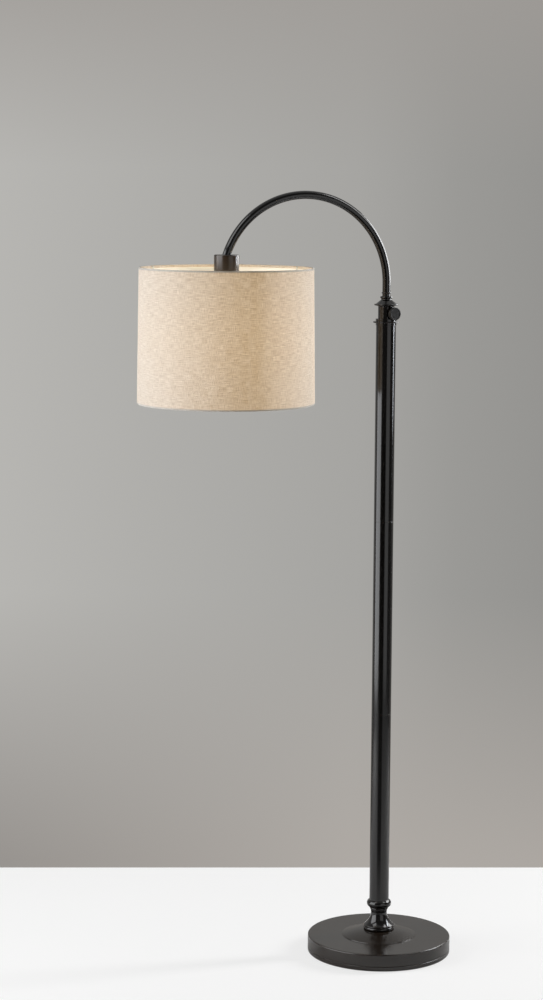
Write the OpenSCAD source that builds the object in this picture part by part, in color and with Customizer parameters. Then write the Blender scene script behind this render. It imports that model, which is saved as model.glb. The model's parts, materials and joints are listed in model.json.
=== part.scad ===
// Floor lamp with a weighted round base, a three-section pole, a telescoping
// arched arm and a drum shade that hangs from the arm's end.
// The origin is on the floor at the centre of the base. The arm points along -X.

/* [Base] */
// Diameter of the round base
base_d = 285.4; // [240:0.2:340]
// Height of the base's flat top above the floor
base_h = 35.5; // [28:0.5:44]
// Thickness of the spun steel cover
sheet_t = 1.5; // [1.2:0.1:2.4]
// Rounding of the cover's upper rim
rim_round = 2.5; // [1.5:0.1:5]
// Rounding of the cover's rolled lower edge
roll_round = 5; // [3.5:0.5:7]
// Width of the lip that the rolled edge ends in
roll_lip = 2; // [1:0.5:4]
// Height of the fine groove above the floor
groove_z = 10.5; // [9:0.5:13]
// Depth of that groove
groove_depth = 0.6; // [0.3:0.1:0.8]
// Gap between the cover's lower edge and the floor
skirt_gap = 1; // [0.5:0.1:1.8]
// Thickness of the felt pad that the lamp stands on
felt_t = 2.5; // [2:0.1:4]
// Air space between the iron weight and the cover's flat top
weight_air = 5.5; // [3:0.5:8]
// Distance of the weight's boss from the edge of the ring that it carries
boss_inset = 3.5; // [1:0.5:8]
// Diameter of the dome in the middle of the base
dome_d = 148; // [110:1:180]
// Rise of the dome above the flat top
dome_h = 11.5; // [8:0.5:22]
// Height of the small step around the dome's foot
dome_step = 1.2; // [0.6:0.1:2]

/* [Base inside] */
// Diameter of the hollow under the weight that holds the nut
nut_well_d = 42; // [36:1:60]
// Depth of that hollow
nut_well_depth = 12; // [10:0.5:16]
// Width of the cable channel in the weight
channel_w = 9; // [7:0.5:12]
// Bore of the cable grommet
grommet_bore_d = 7.2; // [5:0.1:9]
// Wall of the grommet between bore and sheet
grommet_wall = 1.8; // [1.2:0.1:3]
// How far the grommet's flanges reach past its neck
grommet_flange = 1.4; // [0.8:0.1:2]
// Thickness of each grommet flange
grommet_flange_t = 1.4; // [0.8:0.1:2]

/* [Tie tube] */
// Outer diameter of the threaded tie tube
tie_d = 10; // [8:0.5:12]
// Bore of the tie tube
tie_bore_d = 7; // [5:0.5:7.5]
// Thickness of the washer under the weight
washer_t = 2.5; // [1.5:0.5:4]
// Diameter of that washer
washer_d = 30; // [24:1:34]
// Height of the hexagonal nut
nut_h = 6; // [4:0.5:6.5]
// Width of the hexagonal nut across its flats
nut_flats = 17; // [15:0.5:20]
// Distance of the tie tube's top below the foot plug's top
tie_short = 1; // [0.5:0.5:4]

/* [Neck] */
// Diameter of the ring on top of the dome
ring_d = 62; // [56:1:72]
// Height of that ring
ring_h = 7; // [4:0.5:10]
// How far the bell's foot stays inside the ring's edge
bell_inset = 0.5; // [0:0.5:6]
// Height of the rounded lip at the bell's foot
bell_lip_h = 2.5; // [1.5:0.1:5]
// Height of the bell's flare
flare_h = 24.5; // [16:0.5:40]
// Height of the straight throat above the flare
throat_h = 7; // [2:0.5:12]
// Diameter of the bell's throat
throat_d = 33.5; // [26:0.5:36]
// Diameter of the thin ring under the collar
seat_d = 37; // [30:0.2:42]
// Height of that thin ring
seat_h = 4; // [3:0.5:6]
// How far the rounded collar stands out from the pole
collar_proud = 5; // [3:0.5:8]
// Height of the rounded collar
collar_h = 16; // [12:0.5:22]
// Depth that the pole stands in the collar
sink_in = 6; // [3:0.5:8]

/* [Pole] */
// Diameter of the pole
pole_d = 39; // [34:0.5:44]
// Wall of the pole's tubes
pole_wall = 1.2; // [0.9:0.1:2]
// Length of each of the three pole sections
section_l = 386.5; // [370:0.5:450]
// Height of the fine seam between two sections
seam_h = 0.8; // [0.4:0.1:1.6]
// Depth of the seam below the pole's surface
seam_depth = 0.4; // [0.2:0.1:0.8]
// Depth that each coupling reaches into a section
plug_l = 25; // [15:1:35]

/* [Head collar] */
// Length of the collar's spigot inside the pole
spigot_l = 25; // [16:1:35]
// How far the lowest step stands out from the pole
head_step = 0.8; // [0.4:0.1:2]
// Height of the lowest step
head_step_h = 5; // [3:0.5:8]
// How far the lower flange stands out from the pole
flange_proud = 6; // [4:0.25:8]
// Thickness of the lower flange
flange_t = 3; // [2:0.1:4]
// Height of the ledge above the lower flange
ledge_h = 5; // [3:0.5:8]
// How far that ledge stands out from the pole
ledge_proud = 1; // [0.5:0.25:3]
// Diameter of the barrel that the knob screws into
barrel_d = 32; // [30:0.5:36]
// Height of the barrel
barrel_h = 23; // [22:0.5:30]
// Diameter of the cap's flange
cap_flange_d = 47.2; // [40:0.2:50]
// Thickness of the cap's flange
cap_flange_t = 3.2; // [2:0.1:4]
// Height of the flared underside of the cap
cap_under_h = 2.8; // [2:0.1:6]
// Height of the cap's cone above the flange
cap_cone_h = 8.3; // [5:0.1:12]
// Height of the straight throat above the cone
cap_throat_h = 1.9; // [1:0.1:4]
// Wall of the cap's throat around the arm
cap_wall = 1.6; // [1.2:0.1:4]
// Height of the bead on top of the cap
bead_h = 4.8; // [3:0.1:6]
// How far that bead stands out from the cap's throat
bead_proud = 2; // [1:0.1:3]
// Wall of the nylon bush that guides the arm
bush_wall = 3; // [2:0.25:4]
// Height of the seat below the bush
bush_seat_h = 3; // [2:0.5:6]

/* [Clamp knob] */
// Diameter of the knob
knob_d = 25; // [18:0.5:28]
// Thickness of the knob
knob_t = 7; // [5:0.5:10]
// Gap between the collar's wider flange and the knob, seen from above
knob_gap = 1; // [0.6:0.1:5]
// Distance of the knob's axis below the middle of the barrel
knob_low = 0.8; // [0:0.1:2]
// Gap between the barrel and the knob's boss when clamped
boss_air = 1.5; // [1:0.1:3]
// Depth that the screw reaches into the knob
screw_grip = 4; // [3:0.25:4.5]
// Rounding of the knob's edges
knob_round = 1.1; // [0.5:0.1:2]
// Diameter of the boss behind the knob
knob_boss_d = 11; // [9:0.5:16]
// Diameter of the clamp screw
screw_d = 6; // [5:0.5:8]
// Thickness of the nylon pad that grips the arm
grip_t = 2.5; // [1.5:0.1:4]
// Direction of the knob around the pole, from +X towards +Y
knob_azimuth = 281.5; // [240:0.5:320]

/* [Arm] */
// Diameter of the arm's tube
arm_d = 16; // [13:0.5:19]
// Wall of the arm's tube
arm_wall = 1.2; // [1:0.1:1.6]
// Radius of the arch, to the middle of the tube
arch_r = 170.5; // [150:0.1:220]
// Angle that the arch sweeps
arch_sweep = 160.4; // [150:0.1:170]
// Height of the arch's centre above the head collar
arch_rise = 25.4; // [16:0.2:120]
// Gap between the head collar and the stop ring, as photographed
stop_air = 5; // [2:0.5:12]
// Height of the stop ring on the arm
stop_h = 2.6; // [2:0.1:5]
// How far the stop ring stands out from the arm
stop_proud = 1.5; // [0.8:0.05:3]
// Height that the arm can be pulled up
arm_lift = 248; // [150:1:260]
// Height of the guide ring at the arm's lower end
guide_h = 12; // [8:1:20]
// Thickness of the snap ring above the guide ring
snap_t = 1.5; // [1:0.1:2.5]
// Depth of the snap ring's groove
snap_groove = 0.5; // [0.3:0.05:0.6]
// How far the snap ring stands out from the arm
snap_proud = 2; // [1:0.1:4]
// Thickness of the flange below the guide ring
foot_flange_t = 4; // [3:0.5:6]
// How far that flange stands out from the arm
foot_proud = 3; // [2:0.1:5]
// Length of the foot's spigot inside the arm
foot_spigot_l = 15; // [10:1:25]
// Wall of that spigot
foot_wall = 2; // [1:0.1:3]

/* [Socket] */
// Diameter of the socket cup
cup_d = 48.4; // [45:0.2:54]
// Height of the socket cup
cup_h = 60; // [56:1:80]
// Wall of the socket cup
cup_wall = 1.2; // [0.8:0.1:2]
// Rounding of the cup's upper edge
cup_round = 2; // [1:0.1:4]
// Height of the cup above the shade's upper rim
cup_proud = 24.5; // [12:0.5:30]
// Length of the arm-end nipple below the cup's top
nipple_l = 16; // [14:0.5:18]
// Length of that nipple inside the arm
nipple_up = 4; // [2:0.5:5]
// Height of the nipple's lock nut
lock_nut_h = 4; // [3:0.5:5]
// Width of the lock nut across its flats
lock_nut_flats = 14; // [13:0.5:17]
// Depth of the screw shell inside the lampholder's mouth
holder_lip = 2; // [1:0.5:4]
// Depth of the bulb's cap inside the screw shell's edge
cap_entry = 1; // [0:0.5:3]
// Diameter of the lampholder's threaded body
holder_d = 40; // [38:0.5:42]
// Thickness of the lampholder's shoulder
shoulder_t = 2.7; // [2:0.1:5]
// Height of the body below the shoulder
holder_drop = 32.8; // [30:0.2:40]
// Height of the body above the shoulder
holder_top_h = 4.5; // [3:0.5:8]
// Wall of the lampholder's upper housing
housing_wall = 2; // [1.5:0.1:3]
// Step from the lampholder's body in to the upper housing
housing_step = 1; // [0.5:0.1:2]
// Wall of the housing's hub around the nipple
hub_wall = 4; // [3:0.5:6]
// Thickness of the fitter ring that carries the shade
fitter_t = 2; // [1.5:0.1:3]
// Length that the fitter ring laps the spokes' ends
fitter_lap = 1.5; // [1:0.1:3]
// Height of the ring that clamps the shade
clamp_ring_h = 9; // [6:0.5:12]
// Width of the ring that clamps the shade
clamp_ring_w = 4.8; // [3:0.1:7]

/* [Switch] */
// Diameter of the switch shaft
shaft_d = 3; // [2:0.1:4]
// Distance of the switch shaft below the cup's top
shaft_drop = 40; // [36:0.5:44]
// Gap between the cup and the switch key
key_gap = 2; // [1:0.5:5]
// Length of the switch key
key_l = 14; // [10:1:20]
// Diameter of the switch key
key_d = 10; // [7:0.5:14]
// Length of the key's round hub
key_hub_l = 4; // [2:0.5:8]
// Thickness of the key between its flats
key_blade_t = 4; // [2.5:0.1:6]
// Diameter of the contact drum on the shaft
drum_d = 9; // [7:0.5:12]
// Length of the contact drum
drum_l = 10; // [6:1:14]
// Thickness of the contact leaf
leaf_t = 0.6; // [0.4:0.1:1]

/* [Shade] */
// Diameter of the shade's lower rim
shade_d = 341.4; // [300:0.2:400]
// How much smaller the shade's upper rim is
shade_taper = 6.8; // [0:0.2:20]
// Height of the shade
shade_h = 260; // [220:1:300]
// Thickness of the linen
linen_t = 0.6; // [0.4:0.1:1.2]
// Thickness of the white lining
lining_t = 0.5; // [0.3:0.1:1]
// Diameter of the wire rings in the rims
wire_d = 3; // [2:0.1:4]
// Height of the linen that is turned in at each rim
hem_h = 5; // [4:0.5:14]
// Diameter of the spider's spokes
spoke_d = 3; // [2.4:0.1:4]
// Number of spokes
spoke_count = 3; // [3:1:4]
// Direction of the first spoke, from +X towards +Y
spoke_azimuth = 12.4; // [0:0.1:30]
// Radius of the bend where a spoke turns up to the rim
spoke_bend = 8; // [4:0.5:14]

/* [Bulb] */
// Diameter of the bulb
bulb_d = 60; // [45:1:95]
// Length of the bulb with its cap
bulb_l = 112; // [100:1:140]
// Wall of the lampholder's screw shell
shell_t = 0.5; // [0.3:0.1:0.8]
// Wall of the bulb's glass
glass_t = 0.8; // [0.5:0.1:1.5]
// Diameter of the bulb's screw cap
bulb_cap_d = 26; // [24:0.1:27]
// Height of the bulb's screw cap
bulb_cap_h = 25; // [20:0.5:27]
// Wall of the bulb's screw cap
bulb_cap_t = 1; // [0.5:0.1:1.5]
// Diameter of the bulb's contact at its tip
tip_d = 8; // [6:0.5:12]
// Height of that contact
tip_h = 2.5; // [1.5:0.1:4]
// Thickness of the lampholder's centre contact
contact_h = 1.3; // [0.8:0.1:2]
// Diameter of the rivet that holds the centre contact
rivet_d = 3; // [2:0.1:4]

/* [Fits] */
// Running clearance on the radius of shafts and guides
run_gap = 0.05; // [0.02:0.01:0.1]
// Clearance of pressed and threaded joints on the radius
seat_gap = 0.05; // [0.02:0.01:0.1]
// Clearance where loose parts pass each other
pass_gap = 0.5; // [0.3:0.05:0.8]
// Clearance between parts that stop face to face
stop_gap = 0.3; // [0.1:0.05:0.5]

/* [Hidden] */
$fn = 96;
// Overshoot of a cutting tool
cut = 1;
// Segments of a rounded corner, and of a long curve
corner_steps = 6;
curve_steps = 14;
// Least rounding inside a bent sheet
least_round = 0.3;
// The arch is swept this much further, in degrees, and then cut level with the cup
over_sweep = 6;
// Number of pole sections
section_count = 3;
hexagon = 6;
full_turn = 360;
quarter = 90;
// Exponents of the dome's and the bell's curves
dome_power = 1.35;
bell_power = 2.2;

// Radii
base_r = base_d / 2;
dome_r = dome_d / 2;
ring_r = ring_d / 2;
tie_r = tie_d / 2;
tie_hole_r = tie_r + pass_gap;
pole_r = pole_d / 2;
pole_bore_r = pole_r - pole_wall;
collar_r = pole_r + collar_proud;
flange_r = pole_r + flange_proud;
ledge_r = pole_r + ledge_proud;
arm_r = arm_d / 2;
arm_bore_r = arm_r - arm_wall;
bush_r = arm_r + run_gap + bush_wall;
barrel_r = barrel_d / 2;
cap_bore_r = arm_r + pass_gap;
cap_throat_r = cap_bore_r + cap_wall;
bead_r = cap_throat_r + bead_proud;
screw_r = screw_d / 2;
lip_r = base_r - roll_round - roll_lip;
weight_r = lip_r - pass_gap;

// Heights of the base
flat_under_z = base_h - sheet_t;
weight_top_z = flat_under_z - weight_air;
well_top_z = felt_t + nut_well_depth;
washer_z = well_top_z - washer_t;
nut_z = washer_z - nut_h;
tie_z = nut_z - pass_gap;
grommet_neck_r = grommet_bore_d / 2 + grommet_wall;
grommet_r = grommet_neck_r + grommet_flange;
grommet_z = groove_z + groove_depth + grommet_r + pass_gap;
// The cover's round wall falls away by this much at the grommet's edge
grommet_curve = grommet_r * grommet_r / base_r;

// Heights of the neck and the pole
ring_z = base_h + dome_h;
bell_z = ring_z + ring_h;
flare_z = bell_z + bell_lip_h;
seat_z = flare_z + flare_h + throat_h;
collar_z = seat_z + seat_h;
pole_z = collar_z + collar_h - sink_in;
foot_plug_l = plug_l - sink_in;
head_z = pole_z + section_count * section_l;

// Heights of the head collar
flange_z = head_z + head_step_h;
ledge_z = flange_z + flange_t;
barrel_z = ledge_z + ledge_h;
knob_z = barrel_z + barrel_h / 2 - knob_low;
cap_z = barrel_z + barrel_h;
cap_flange_z = cap_z + cap_under_h;
cap_cone_z = cap_flange_z + cap_flange_t;
cap_throat_z = cap_cone_z + cap_cone_h;
cap_bead_z = cap_throat_z + cap_throat_h;
cap_top_z = cap_bead_z + bead_h;
bush_z = head_z - spigot_l + bush_seat_h;

// Distances of the clamp's parts from the pole's axis
grip_in = arm_r + stop_gap;
grip_out = grip_in + grip_t;
screw_in = grip_out + seat_gap;
knob_in = max(flange_r, cap_flange_d / 2) + knob_gap;
knob_out = knob_in + knob_t;
boss_in = barrel_r + boss_air;
screw_end = knob_in + screw_grip;

// Heights and places of the arm
stop_z = cap_top_z + stop_air;
arch_z = cap_top_z + arch_rise;
guide_top_z = head_z - spigot_l - arm_lift - stop_gap - snap_t - stop_gap;
guide_z = guide_top_z - guide_h;
foot_z = guide_z - stop_gap;
snap_z = guide_top_z + stop_gap;
cup_x = -arch_r * (1 - cos(arch_sweep));
cup_z = arch_z + arch_r * sin(arch_sweep);

// Heights and radii of the socket, measured down from the cup's top
cup_r = cup_d / 2;
cup_bore_r = cup_r - cup_wall;
nipple_hole_r = tie_r + seat_gap;
plate_z = cup_z - cup_wall;
cup_rim_z = cup_z - cup_h;
shoulder_z = cup_rim_z - shoulder_t;
fitter_z = shoulder_z - fitter_t;
clamp_ring_z = fitter_z - clamp_ring_h;
holder_r = holder_d / 2;
holder_z = shoulder_z - holder_drop;
holder_top_z = cup_rim_z + holder_top_h;
nipple_z = cup_z - nipple_l;
hub_top_z = plate_z - lock_nut_h - stop_gap;
housing_top_z = nipple_z + housing_wall + pass_gap;
housing_r = holder_r - housing_step;
shaft_z = cup_z - shaft_drop;

// The bulb's screw shell and contacts
bulb_cap_r = bulb_cap_d / 2;
shell_bore_r = bulb_cap_r + stop_gap;
shell_r = shell_bore_r + shell_t;
shell_z = holder_z + holder_lip;
bulb_cap_z = shell_z + cap_entry;
tip_z = bulb_cap_z + bulb_cap_h;
contact_z = tip_z + tip_h + stop_gap;
holder_floor_z = contact_z + contact_h;
bulb_r = bulb_d / 2;
bulb_low_z = tip_z + tip_h - bulb_l;
globe_z = bulb_low_z + bulb_r;
glass_neck_r = bulb_cap_r - bulb_cap_t - seat_gap;

// The shade hangs on the cup's axis
shade_top_z = cup_z - cup_proud;
shade_z = shade_top_z - shade_h;
bottom_r = shade_d / 2;
top_r = bottom_r - shade_taper / 2;
skin_t = linen_t + seat_gap + lining_t;
wire_in = skin_t + seat_gap + wire_d / 2;
fold_w = skin_t + 2 * seat_gap + wire_d + linen_t;
wire_drop = linen_t + seat_gap + wire_d / 2;
spoke_r = spoke_d / 2;
spoke_in = max(cup_r, holder_r + clamp_ring_w) + spoke_r;
spoke_out = top_r - wire_in - wire_d / 2 - seat_gap;
spoke_rise_r = top_r - fold_w - stop_gap - spoke_r;
spoke_low_z = fitter_z + fitter_t / 2;
spoke_high_z = shade_top_z - linen_t - seat_gap - max(spoke_r, wire_d / 2);
fitter_r = spoke_in + fitter_lap;

// Colours
bronze = [0.10, 0.09, 0.085];
steel = [0.62, 0.62, 0.60];
iron = [0.28, 0.28, 0.28];
brass = [0.72, 0.58, 0.30];
nylon = [0.86, 0.85, 0.80];
black = [0.06, 0.06, 0.06];
porcelain = [0.90, 0.88, 0.83];
linen = [0.84, 0.76, 0.66];
white = [0.95, 0.93, 0.88];
felt = [0.16, 0.15, 0.14];
glow = [1.0, 0.93, 0.80, 0.6];

// Points of an arc around centre c, from angle a0 to angle a1
function arc(c, r, a0, a1) = [
    for (i = [0:corner_steps])
        let (a = a0 + (a1 - a0) * i / corner_steps)
        c + r * [cos(a), sin(a)]
];

// Points of the dome's outline, from its foot at radius foot_r to the ring's seat
function dome_curve(foot_r, drop) = [
    for (i = [0:curve_steps])
        let (s = i / curve_steps)
        [foot_r + (ring_r - foot_r) * s,
         base_h + dome_step + (dome_h - dome_step) * (1 - pow(1 - s, dome_power)) - drop]
];

function reversed(points) = [for (i = [len(points) - 1:-1:0]) points[i]];

// A round part with a straight bore, from height z0 to z1
module tube(r, bore_r, z0, z1) {
    difference() {
        translate([0, 0, z0]) cylinder(r = r, h = z1 - z0);
        translate([0, 0, z0 - cut]) cylinder(r = bore_r, h = z1 - z0 + 2 * cut);
    }
}

// A round bore for cutting, from height z0 to z1
module bore(r, z0, z1) {
    translate([0, 0, z0]) cylinder(r = r, h = z1 - z0);
}

// A disc with a half-round edge
module rounded_disc(r, z0, z1) {
    half = (z1 - z0) / 2;
    rotate_extrude() {
        translate([0, z0]) square([r - half, z1 - z0]);
        translate([r - half, z0 + half]) circle(r = half);
    }
}

// A hexagonal nut with a round bore
module hex_nut(flats, bore_r, z0, h) {
    difference() {
        translate([0, 0, z0])
            cylinder(r = flats / 2 / cos(full_turn / hexagon / 2), h = h, $fn = hexagon);
        bore(bore_r, z0 - cut, z0 + h + cut);
    }
}

// Children placed along the clamp screw's axis, with +Z pointing away from the pole
module on_clamp_axis() {
    translate([0, 0, knob_z]) rotate([0, 0, knob_azimuth]) rotate([0, quarter, 0]) children();
}

// Children placed on the shade's and the socket's axis
module on_cup_axis() {
    translate([cup_x, 0, 0]) children();
}

// Children placed on the switch shaft's axis, with +Z pointing away from the socket along +Y
module on_switch_axis() {
    translate([cup_x, 0, shaft_z]) rotate([-quarter, 0, 0]) children();
}

module base_cover() {
    outer = concat(
        [[lip_r, skirt_gap]],
        arc([base_r - roll_round, skirt_gap + roll_round], roll_round, -quarter, 0),
        [[base_r, groove_z - groove_depth],
         [base_r - groove_depth, groove_z],
         [base_r, groove_z + groove_depth]],
        arc([base_r - rim_round, base_h - rim_round], rim_round, 0, quarter),
        [[dome_r, base_h]],
        dome_curve(dome_r - dome_step / 2, 0),
        [[tie_hole_r, ring_z]]
    );
    rim_in = max(rim_round - sheet_t, least_round);
    inner = concat(
        [[tie_hole_r, ring_z - sheet_t]],
        reversed(dome_curve(dome_r - dome_step / 2 - sheet_t, sheet_t)),
        [[dome_r - sheet_t, flat_under_z]],
        arc([base_r - sheet_t - rim_in, flat_under_z - rim_in], rim_in, quarter, 0),
        arc([base_r - roll_round, skirt_gap + roll_round], roll_round - sheet_t, 0, -quarter),
        [[lip_r, skirt_gap + sheet_t]]
    );
    color(bronze) difference() {
        rotate_extrude() polygon(concat(outer, inner));
        translate([0, 0, grommet_z]) rotate([0, quarter, 0])
            cylinder(r = grommet_neck_r + seat_gap, h = base_r + cut);
    }
}

module base_weight() {
    boss_r = ring_r - boss_inset;
    color(iron) difference() {
        union() {
            bore(weight_r, felt_t, weight_top_z);
            bore(boss_r, weight_top_z - cut, ring_z - sheet_t);
        }
        bore(tie_hole_r, felt_t - cut, ring_z + cut);
        bore(nut_well_d / 2, felt_t - cut, well_top_z);
        translate([0, -channel_w / 2, felt_t - cut])
            cube([base_r, channel_w, grommet_z + grommet_neck_r - felt_t + cut]);
    }
}

module base_felt() {
    color(felt) bore(weight_r - pass_gap, 0, felt_t);
}

module cable_grommet() {
    inside = base_r - sheet_t;
    color(black) translate([0, 0, grommet_z]) rotate([0, quarter, 0])
        difference() {
            union() {
                bore(grommet_neck_r, inside - grommet_flange_t, base_r + grommet_flange_t);
                bore(grommet_r, inside - grommet_flange_t, inside - grommet_curve);
                bore(grommet_r, base_r + seat_gap, base_r + grommet_flange_t);
            }
            bore(grommet_bore_d / 2, inside - grommet_flange_t - cut, base_r + grommet_flange_t + cut);
        }
}

module tie_tube() {
    color(steel) tube(tie_r, tie_bore_d / 2, tie_z, pole_z + foot_plug_l - tie_short);
}

module tie_washer() {
    color(steel) tube(washer_d / 2, tie_hole_r, washer_z, well_top_z);
}

module tie_nut() {
    color(steel) hex_nut(nut_flats, tie_r + seat_gap, nut_z, nut_h);
}

module neck_ring() {
    color(bronze) difference() {
        rounded_disc(ring_r, ring_z, bell_z);
        bore(tie_hole_r, ring_z - cut, bell_z + cut);
    }
}

module neck_bell() {
    throat_r = throat_d / 2;
    lip_round = bell_lip_h / 2;
    foot_r = ring_r - bell_inset - lip_round;
    outline = concat(
        [[tie_hole_r, bell_z]],
        arc([foot_r, bell_z + lip_round], lip_round, -quarter, quarter),
        [for (i = [1:curve_steps])
            let (s = i / curve_steps)
            [throat_r + (foot_r - throat_r) * pow(1 - s, bell_power), flare_z + flare_h * s]],
        [[throat_r, seat_z], [tie_hole_r, seat_z]]
    );
    color(bronze) rotate_extrude() polygon(outline);
}

module neck_seat_ring() {
    color(bronze) difference() {
        rounded_disc(seat_d / 2, seat_z, collar_z);
        bore(tie_hole_r, seat_z - cut, collar_z + cut);
    }
}

module neck_collar() {
    color(bronze) difference() {
        rounded_disc(collar_r, collar_z, collar_z + collar_h);
        bore(tie_hole_r, collar_z - cut, pole_z + cut);
        bore(pole_r + seat_gap, pole_z, collar_z + collar_h + cut);
    }
}

module pole_foot_plug() {
    color(steel) tube(pole_bore_r - seat_gap, tie_r + seat_gap, pole_z, pole_z + foot_plug_l);
}

// One of the pole sections, counted from 0 at the foot
module pole_section(i) {
    low = pole_z + i * section_l + (i > 0 ? seam_h / 2 : 0);
    high = pole_z + (i + 1) * section_l - (i < section_count - 1 ? seam_h / 2 : 0);
    color(bronze) tube(pole_r, pole_bore_r, low, high);
}

module pole_lower() { pole_section(0); }
module pole_middle() { pole_section(1); }
module pole_upper() { pole_section(2); }

// The plug that screws two sections together, with the seam's ring in the middle
module pole_coupling(i) {
    seam_z = pole_z + i * section_l;
    color(bronze) difference() {
        union() {
            bore(pole_bore_r - seat_gap, seam_z - plug_l, seam_z + plug_l);
            bore(pole_r - seam_depth, seam_z - seam_h / 2, seam_z + seam_h / 2);
        }
        bore(tie_r, seam_z - plug_l - cut, seam_z + plug_l + cut);
    }
}

module pole_coupling_lower() { pole_coupling(1); }
module pole_coupling_upper() { pole_coupling(2); }

module head_collar() {
    color(bronze) difference() {
        union() {
            bore(pole_bore_r - seat_gap, head_z - spigot_l, head_z + cut);
            bore(pole_r + head_step, head_z, flange_z + cut);
            rounded_disc(flange_r, flange_z, ledge_z);
            bore(ledge_r, ledge_z - cut, barrel_z);
            bore(barrel_r, barrel_z - cut, cap_z);
        }
        bore(cap_bore_r, head_z - spigot_l - cut, bush_z + cut);
        bore(bush_r + seat_gap, bush_z, cap_z + cut);
        on_clamp_axis() bore(screw_r + run_gap, 0, barrel_r + cut);
    }
}

module head_cap() {
    edge = cap_flange_t / 2;
    wide = cap_flange_d / 2 - edge;
    round_r = min(bead_h / 2, bead_proud);
    // Underside flaring out from the barrel, rounded flange, cone, throat and bead
    outline = concat(
        [[cap_bore_r, cap_z]],
        [for (i = [0:curve_steps])
            let (s = i / curve_steps)
            [barrel_r + (wide - barrel_r) * (1 - cos(quarter * s)), cap_z + cap_under_h * sin(quarter * s)]],
        arc([wide, cap_flange_z + edge], edge, -quarter, quarter),
        [[wide - edge, cap_cone_z], [cap_throat_r, cap_throat_z]],
        arc([bead_r - round_r, cap_bead_z + round_r], round_r, -quarter, 0),
        arc([bead_r - round_r, cap_top_z - round_r], round_r, 0, quarter),
        [[cap_bore_r, cap_top_z]]
    );
    color(bronze) rotate_extrude() polygon(outline);
}

module guide_bush() {
    color(nylon) difference() {
        tube(bush_r, arm_r + run_gap, bush_z, cap_z);
        on_clamp_axis() bore(screw_r + run_gap, 0, bush_r + cut);
    }
}

module clamp_pad() {
    color(nylon) on_clamp_axis() difference() {
        bore(screw_r - seat_gap, 0, grip_out);
        // The pad's face follows the arm's round
        rotate([0, quarter, 0]) translate([0, 0, -knob_d]) cylinder(r = grip_in, h = 2 * knob_d);
    }
}

module clamp_screw() {
    color(steel) on_clamp_axis() bore(screw_r, screw_in, screw_end);
}

module clamp_knob() {
    edge = knob_round;
    knob_r = knob_d / 2;
    color(black) on_clamp_axis() difference() {
        union() {
            rotate_extrude() polygon(concat(
                [[0, knob_in]],
                arc([knob_r - edge, knob_in + edge], edge, -quarter, 0),
                arc([knob_r - edge, knob_out - edge], edge, 0, quarter),
                [[0, knob_out]]
            ));
            bore(knob_boss_d / 2, boss_in, knob_in + cut);
        }
        bore(screw_r + seat_gap, boss_in - cut, screw_end);
    }
}

module arm_guide_ring() {
    color(nylon) tube(pole_bore_r - run_gap, arm_r + run_gap, guide_z, guide_top_z);
}

module arm_snap_ring() {
    ring_out = arm_r + snap_proud;
    color(steel) difference() {
        tube(ring_out, arm_r - snap_groove + seat_gap, snap_z, snap_z + snap_t);
        translate([0, -arm_r / 2, snap_z - cut]) cube([ring_out + cut, arm_r, snap_t + 2 * cut]);
    }
}

module arm_foot() {
    color(steel) difference() {
        union() {
            bore(arm_r + foot_proud, foot_z - foot_flange_t, foot_z);
            bore(arm_bore_r - seat_gap, foot_z - cut, foot_z + foot_spigot_l);
        }
        bore(arm_bore_r - foot_wall, foot_z - foot_flange_t - cut, foot_z + foot_spigot_l + cut);
    }
}

module arm_stop_ring() {
    color(bronze) difference() {
        rounded_disc(arm_r + stop_proud, stop_z, stop_z + stop_h);
        bore(arm_r + seat_gap, stop_z - cut, stop_z + stop_h + cut);
    }
}

// The arm's course as a solid rod of radius r, a little longer than the arm at both ends if asked
module arm_rod(r, extra) {
    bore(r, foot_z - extra, arch_z);
    translate([-arch_r, 0, arch_z]) rotate([quarter, 0, 0])
        rotate_extrude(angle = arch_sweep + over_sweep) translate([arch_r, 0]) circle(r = r);
}

module arm_tube() {
    color(bronze) difference() {
        arm_rod(arm_r, 0);
        arm_rod(arm_bore_r, cut);
        // The end is cut level with the cup's top
        translate([cup_x - arch_r / 2, -arm_d, cup_z - 3 * arm_d]) cube([arch_r, 2 * arm_d, 3 * arm_d]);
        difference() {
            bore(arm_r + cut, snap_z, snap_z + snap_t);
            bore(arm_r - snap_groove, snap_z - cut, snap_z + snap_t + cut);
        }
    }
}

module arm_end_nipple() {
    color(steel) on_cup_axis() tube(tie_r, tie_bore_d / 2, nipple_z, cup_z + nipple_up);
}

module cup_lock_nut() {
    color(steel) on_cup_axis() hex_nut(lock_nut_flats, tie_r + seat_gap, plate_z - lock_nut_h, lock_nut_h);
}

module socket_cup() {
    round_in = max(cup_round - cup_wall, least_round);
    outline = concat(
        [[cup_r, cup_rim_z]],
        arc([cup_r - cup_round, cup_z - cup_round], cup_round, 0, quarter),
        [[nipple_hole_r, cup_z], [nipple_hole_r, plate_z]],
        arc([cup_bore_r - round_in, plate_z - round_in], round_in, quarter, 0),
        [[cup_bore_r, cup_rim_z]]
    );
    color(bronze) difference() {
        on_cup_axis() rotate_extrude() polygon(outline);
        on_switch_axis() bore(shaft_d / 2 + pass_gap, 0, cup_r + cut);
    }
}

module lampholder_housing() {
    color(black) difference() {
        on_cup_axis() difference() {
            union() {
                bore(housing_r, holder_top_z, housing_top_z);
                bore(tie_r + hub_wall, housing_top_z - cut, hub_top_z);
            }
            bore(housing_r - housing_wall, holder_top_z - cut, housing_top_z - housing_wall);
            bore(tie_r + seat_gap, housing_top_z - 2 * housing_wall, hub_top_z + cut);
        }
        on_switch_axis() bore(shaft_d / 2 + run_gap, -drum_l, housing_r + cut);
    }
}

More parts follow.
